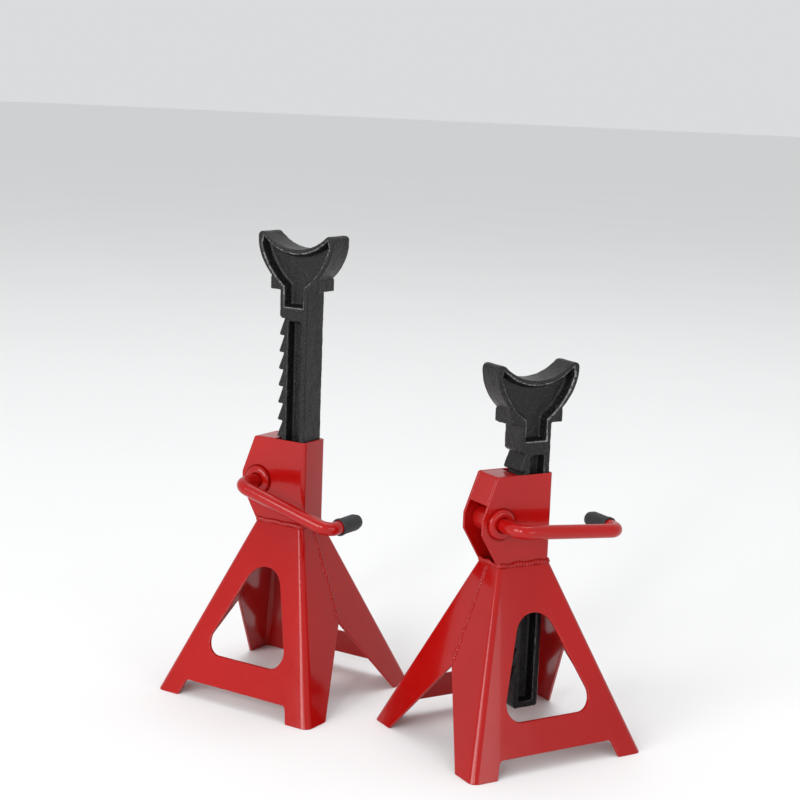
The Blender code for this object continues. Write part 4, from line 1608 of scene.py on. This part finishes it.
@dataclass
class Handle:
    """The bent bar, the cast pawl pinned to it, and the rubber sleeve on its end."""

    bend: float = 0.010
    bend_steps: int = 20
    sides: int = 40
    chamfer: float = 0.0009
    sharp_angle: float = 40
    hub_radius: float = 0.0095
    hub_sink: float = 0.0010
    hub_edge: float = 0.0010
    arm_half: float = 0.009
    arm_edge: float = 0.0012
    root_angles: Triple = (142, 270, 3)
    tip: Pair = (0.01845, 0.0233)
    tip_width: float = 0.0080
    tip_slope: float = 0.0007
    tip_radius: float = 0.0012
    elbow: Pair = (0.00365, 0.0111)
    elbow_radius: float = 0.002
    fillet: float = 0.0016
    cell: float = 0.0004
    margin: float = 0.001
    hole: float = 0.0004
    bore_edge: float = 0.0004
    drill_edge: float = 0.0003
    lump_height: float = 0.00005
    lump_size: float = 0.0028
    pin_wall: float = 0.0007
    pin_turn: Pair = (-250, 70)
    pin_steps: int = 40
    pin_edge: float = 0.0002
    grip_gap: float = 0.0001
    grip_cap: float = 0.0018
    grip_round: float = 0.0019
    grip_lip: float = 0.0005
    grip_rim: float = 0.0009
    grip_steps: int = 72
    grip_taper: float = 0.0003
    band: Pair = (0.0028, 0.0036)
    band_step: float = 0.00045
    band_round: float = 0.0006
    radius: float = 0.0
    length: float = 0.0
    out: np.ndarray | None = None

    def build(self, bench: Bench) -> None:
        """Make the bar, the pawl, the pin and the grip.

        Args:
            bench: where the stand's pieces are finished.
        """
        place = bench.place
        bar, grip = place.box("handle_bar"), place.box("grip")
        self.radius = place.pivot[0] - bar[0, 0]
        arm = (grip[0] + grip[1]) / 2 - place.pivot
        self.length = math.hypot(arm[0], arm[2])
        self.out = np.array([arm[0], 0, arm[2]]) / self.length
        self.build_bar(bench, bar, grip)
        self.build_pawl(bench)
        self.build_pin(bench)
        self.build_grip(bench, grip)

    def build_bar(self, bench: Bench, bar: np.ndarray, grip: np.ndarray) -> None:
        """The bar: a circle carried along the shaft, a bend, the arm, a bend and the crosspiece.

        A bend's point is its centre plus the bend's radius times the old direction's sine part minus the new
        direction's cosine part.

        Args:
            bench: where the stand's pieces are finished.
            bar: the bar's box in the frame.
            grip: the grip's box in the frame.
        """
        pivot = bench.place.pivot
        across = np.array([0.0, 1.0, 0.0])
        near = pivot + across * (bar[0, 1] + self.radius)
        far = near + self.out * self.length
        start = pivot + across * bar[1, 1]
        end = far + across * (grip[1, 1] - self.grip_cap - self.grip_gap - near[1])
        angle = np.linspace(0, math.pi / 2, self.bend_steps + 1)[:, None]
        rows = [np.array([start, start - across * self.chamfer])]
        for corner, before, after in ((near, -across, self.out), (far, self.out, across)):
            centre = corner - before * self.bend + after * self.bend
            rows.append(centre + self.bend * (before * np.sin(angle) - after * np.cos(angle)))
        rows.append(np.array([end - across * self.chamfer, end]))
        path = np.concatenate(rows)
        radii = np.full((len(path), 2), self.radius)
        radii[[0, -1]] -= self.chamfer
        side = np.tile(np.cross(across, self.out), (len(path), 1))
        mesh = swept(path, side, radii, self.sides).mesh("bent_bar")
        mesh.set_sharp_from_angle(angle=math.radians(self.sharp_angle))
        bench.finish("bent_bar", mesh, Slot.BAR, Body.HANDLE, "handle_bar")

    def pawl_outline(self) -> np.ndarray:
        """Side outline of the pawl's arm about the pivot, up to the tip that lies under a tooth.

        Returns:
            The outline's points.
        """
        reach, top = self.tip
        spoke = self.hub_radius - self.hub_sink
        root = [(spoke * math.cos(a), spoke * math.sin(a), 0) for a in np.radians(self.root_angles)]
        return rounded(
            [
                *root,
                (reach - self.elbow[0], top - self.elbow[1], self.elbow_radius),
                (reach, top, self.tip_radius),
                (reach - self.tip_width, top - self.tip_slope, self.elbow_radius),
            ]
        )

    def build_pawl(self, bench: Bench) -> None:
        """The casting: hub and arm joined with a fillet, bored for the bar and drilled for the pin.

        Args:
            bench: where the stand's pieces are finished.
        """
        place = bench.place
        half = place.box("pawl")[1, 1]
        pad = 3 * self.cell
        low = np.array([-self.hub_radius, -half, -self.hub_radius]) - pad
        high = np.array([self.tip[0] + self.margin, half, self.tip[1] + self.margin]) + pad
        x, y, z = (np.arange(low[k], high[k] + self.cell, self.cell) for k in range(3))
        flat = np.hypot(x[:, None], z[None])[:, None, :]
        ends = np.abs(y)[None, :, None] - half + 0 * flat
        hub = meet(flat - self.hub_radius, ends, self.hub_edge)
        arm = outline_distance(self.pawl_outline(), x, z)[:, None, :]
        arm = meet(arm, np.abs(y)[None, :, None] - self.arm_half + 0 * arm, self.arm_edge)
        bore = self.radius + self.hole - flat + 0 * ends
        field = meet(join(hub, arm, self.fillet), bore, self.bore_edge)
        pin = place.box("roll_pin")
        pin_radius, pin_y = (pin[1, 1] - pin[0, 1]) / 2, (pin[0, 1] + pin[1, 1]) / 2
        drill = np.hypot(y[:, None] - pin_y, z[None])[None] - pin_radius - self.hole
        field = meet(field, -drill + 0 * field, self.drill_edge)
        field += self.lump_height * lumps(field.shape, self.cell, self.lump_size, seed=8)
        patch = skin(field, low + place.pivot, self.cell)
        bench.finish("cast_pawl", patch.mesh("cast_pawl"), Slot.PAWL, Body.HANDLE, "pawl")

    def build_pin(self, bench: Bench) -> None:
        """The spring pin: a tube with a slit along it, drawn out along the stand's X.

        Args:
            bench: where the stand's pieces are finished.
        """
        box = bench.place.box("roll_pin")
        radius, middle = (box[1, 1] - box[0, 1]) / 2, (box[0] + box[1]) / 2
        centre = (middle[1], middle[2])
        start, end = self.pin_turn
        outer = arc(centre, radius, start, end, self.pin_steps)
        inner = arc(centre, radius - self.pin_wall, end, start, self.pin_steps)
        tube = drawn_out(np.concatenate([outer, inner]), box[0, 0], box[1, 0], Axis.X)
        mesh = tube.mesh("split_spring_pin")
        bench.finish("split_spring_pin", mesh, Slot.PIN, Body.HANDLE, "roll_pin", self.pin_edge)

    def build_grip(self, bench: Bench, box: np.ndarray) -> None:
        """The sleeve: a wall with a rolled lip at its mouth and a domed end, turned about the crosspiece.

        Args:
            bench: where the stand's pieces are finished.
            box: the grip's box in the frame.
        """
        radius, length = (box[1, 0] - box[0, 0]) / 2, box[1, 1] - box[0, 1]
        bore = self.radius + self.grip_gap
        corners = [
            (bore, length - self.grip_cap, 0),
            (bore, 0, self.grip_lip),
            (radius, 0, self.grip_rim),
            (radius, self.band[0], self.band_round),
            (radius - self.band_step, self.band[1], self.band_round),
            (radius - self.grip_taper, length, self.grip_round),
        ]
        wall = rounded(corners, steps=8)
        profile = np.concatenate([[(0, length - self.grip_cap)], wall, [(0, length)]])
        centre = np.array([(box[0, 0] + box[1, 0]) / 2, box[0, 1], (box[0, 2] + box[1, 2]) / 2])
        mesh = weld(turned(profile, centre, Axis.Y, self.grip_steps).mesh("rubber_grip"))
        bench.finish("rubber_grip", mesh, Slot.RUBBER, Body.HANDLE, "grip")


# ---------------------------------------------------------------- studio


@dataclass(frozen=True)
class Softbox:
    """A rectangular light that looks at the middle of the pair, or at another point."""

    name: str
    place: Triple
    size: Pair
    power: float
    colour: Colour = (1.0, 1.0, 1.0)
    look: Triple = (0.0, 0.0, 0.17)

    def build(self) -> None:
        """Hang the light and turn it to the point that it looks at."""
        lamp = bpy.data.lights.new(self.name, "AREA")
        lamp.shape = "RECTANGLE"
        lamp.size, lamp.size_y = self.size
        lamp.energy = self.power
        lamp.color = self.colour
        holder = bpy.data.objects.new(self.name, lamp)
        holder.location = self.place
        aim = Vector(self.look) - Vector(self.place)
        holder.rotation_euler = aim.to_track_quat("-Z", "Y").to_euler()
        bpy.context.scene.collection.objects.link(holder)


@dataclass(frozen=True)
class Viewpoint:
    """The camera: where it stands, which way it looks, and its lens."""

    place: Triple = (0.6796, -1.0971, 0.4852)
    heading: float = 32.47
    pitch: float = 10.22
    roll: float = 2.11
    lens: float = 75.8
    sensor: float = 36.0
    clips: Pair = (0.05, 50.0)

    def build(self) -> None:
        """Make the camera and hand it to the scene."""
        camera = bpy.data.cameras.new("camera")
        camera.lens = self.lens
        camera.sensor_width = self.sensor
        camera.clip_start, camera.clip_end = self.clips
        holder = bpy.data.objects.new("camera", camera)
        holder.location = self.place
        turn = Euler((math.radians(90 - self.pitch), 0, math.radians(self.heading))).to_matrix()
        holder.rotation_euler = (turn @ Matrix.Rotation(math.radians(self.roll), 3, "Z")).to_euler()
        bpy.context.scene.collection.objects.link(holder)
        bpy.context.scene.camera = holder
        bpy.context.scene.view_settings.view_transform = "Standard"


@dataclass(frozen=True)
class Studio:
    """A pale floor, a pale sky and soft lights."""

    floor_size: float = 60.0
    floor_colour: Colour = (0.88, 0.88, 0.88)
    floor_drift: float = 0.985
    drift_size: float = 0.4
    floor_roughness: float = 0.6
    floor_shine: float = 0.1
    sky_colour: Colour = (0.98, 0.99, 1.0)
    sky_power: float = 0.72
    lights: tuple[Softbox, ...] = (
        Softbox("key", (-0.84, -3.50, 1.60), (2.10, 1.70), 68.0),
        Softbox("thin_strip", (0.90, -3.50, 1.52), (0.26, 1.60), 30.0),
        Softbox("right_wall", (3.30, -0.84, 0.94), (2.20, 1.20), 18.0),
        Softbox("top", (-0.1, 0.8, 3.2), (2.2, 1.8), 26.0),
    )

    def floor_material(self) -> bpy.types.Material:
        """The floor's finish: one pale colour that drifts very slightly.

        Returns:
            The new material.
        """
        n = Nodes("pale_floor")
        tint = n.ramp(n.noise(self.drift_size, 2.0), MIDDLE_NOISE)
        darker = tuple(self.floor_drift * part for part in self.floor_colour)
        n.coat(
            Base_Color=n.blend(tint, self.floor_colour, darker),
            Roughness=self.floor_roughness,
            Specular_IOR_Level=self.floor_shine,
        )
        return n.material

    def build(self) -> None:
        """Lay the floor, set the sky and hang the lights."""
        reach = self.floor_size / 2
        corners = np.array([(-reach, -reach, 0), (reach, -reach, 0), (reach, reach, 0), (-reach, reach, 0)])
        floor = bpy.data.objects.new("floor", Patch(corners, np.array([[0, 1, 2, 3]]), []).mesh("floor"))
        floor.data.materials.append(self.floor_material())
        bpy.context.scene.collection.objects.link(floor)
        world = bpy.data.worlds.new("sky")
        bpy.context.scene.world = world
        world.use_nodes = True
        sky = world.node_tree.nodes["Background"]
        sky.inputs["Color"].default_value = (*self.sky_colour, 1)
        sky.inputs["Strength"].default_value = self.sky_power
        for light in self.lights:
            light.build()


# ---------------------------------------------------------------- assembly


def main() -> None:
    """Build both stands and the studio."""
    logging.basicConfig(level=logging.INFO, format="%(name)s: %(message)s")
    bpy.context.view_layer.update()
    paints = {slot: finish.material() for slot, finish in FINISHES.items()}
    for name in ("left", "right"):
        bench = Bench(Place.of(name), paints)
        for assembly in (LegFrames(), Housing(), Column(), Handle()):
            assembly.build(bench)
    Studio().build()
    Viewpoint().build()


if __name__ == "__main__":
    main()
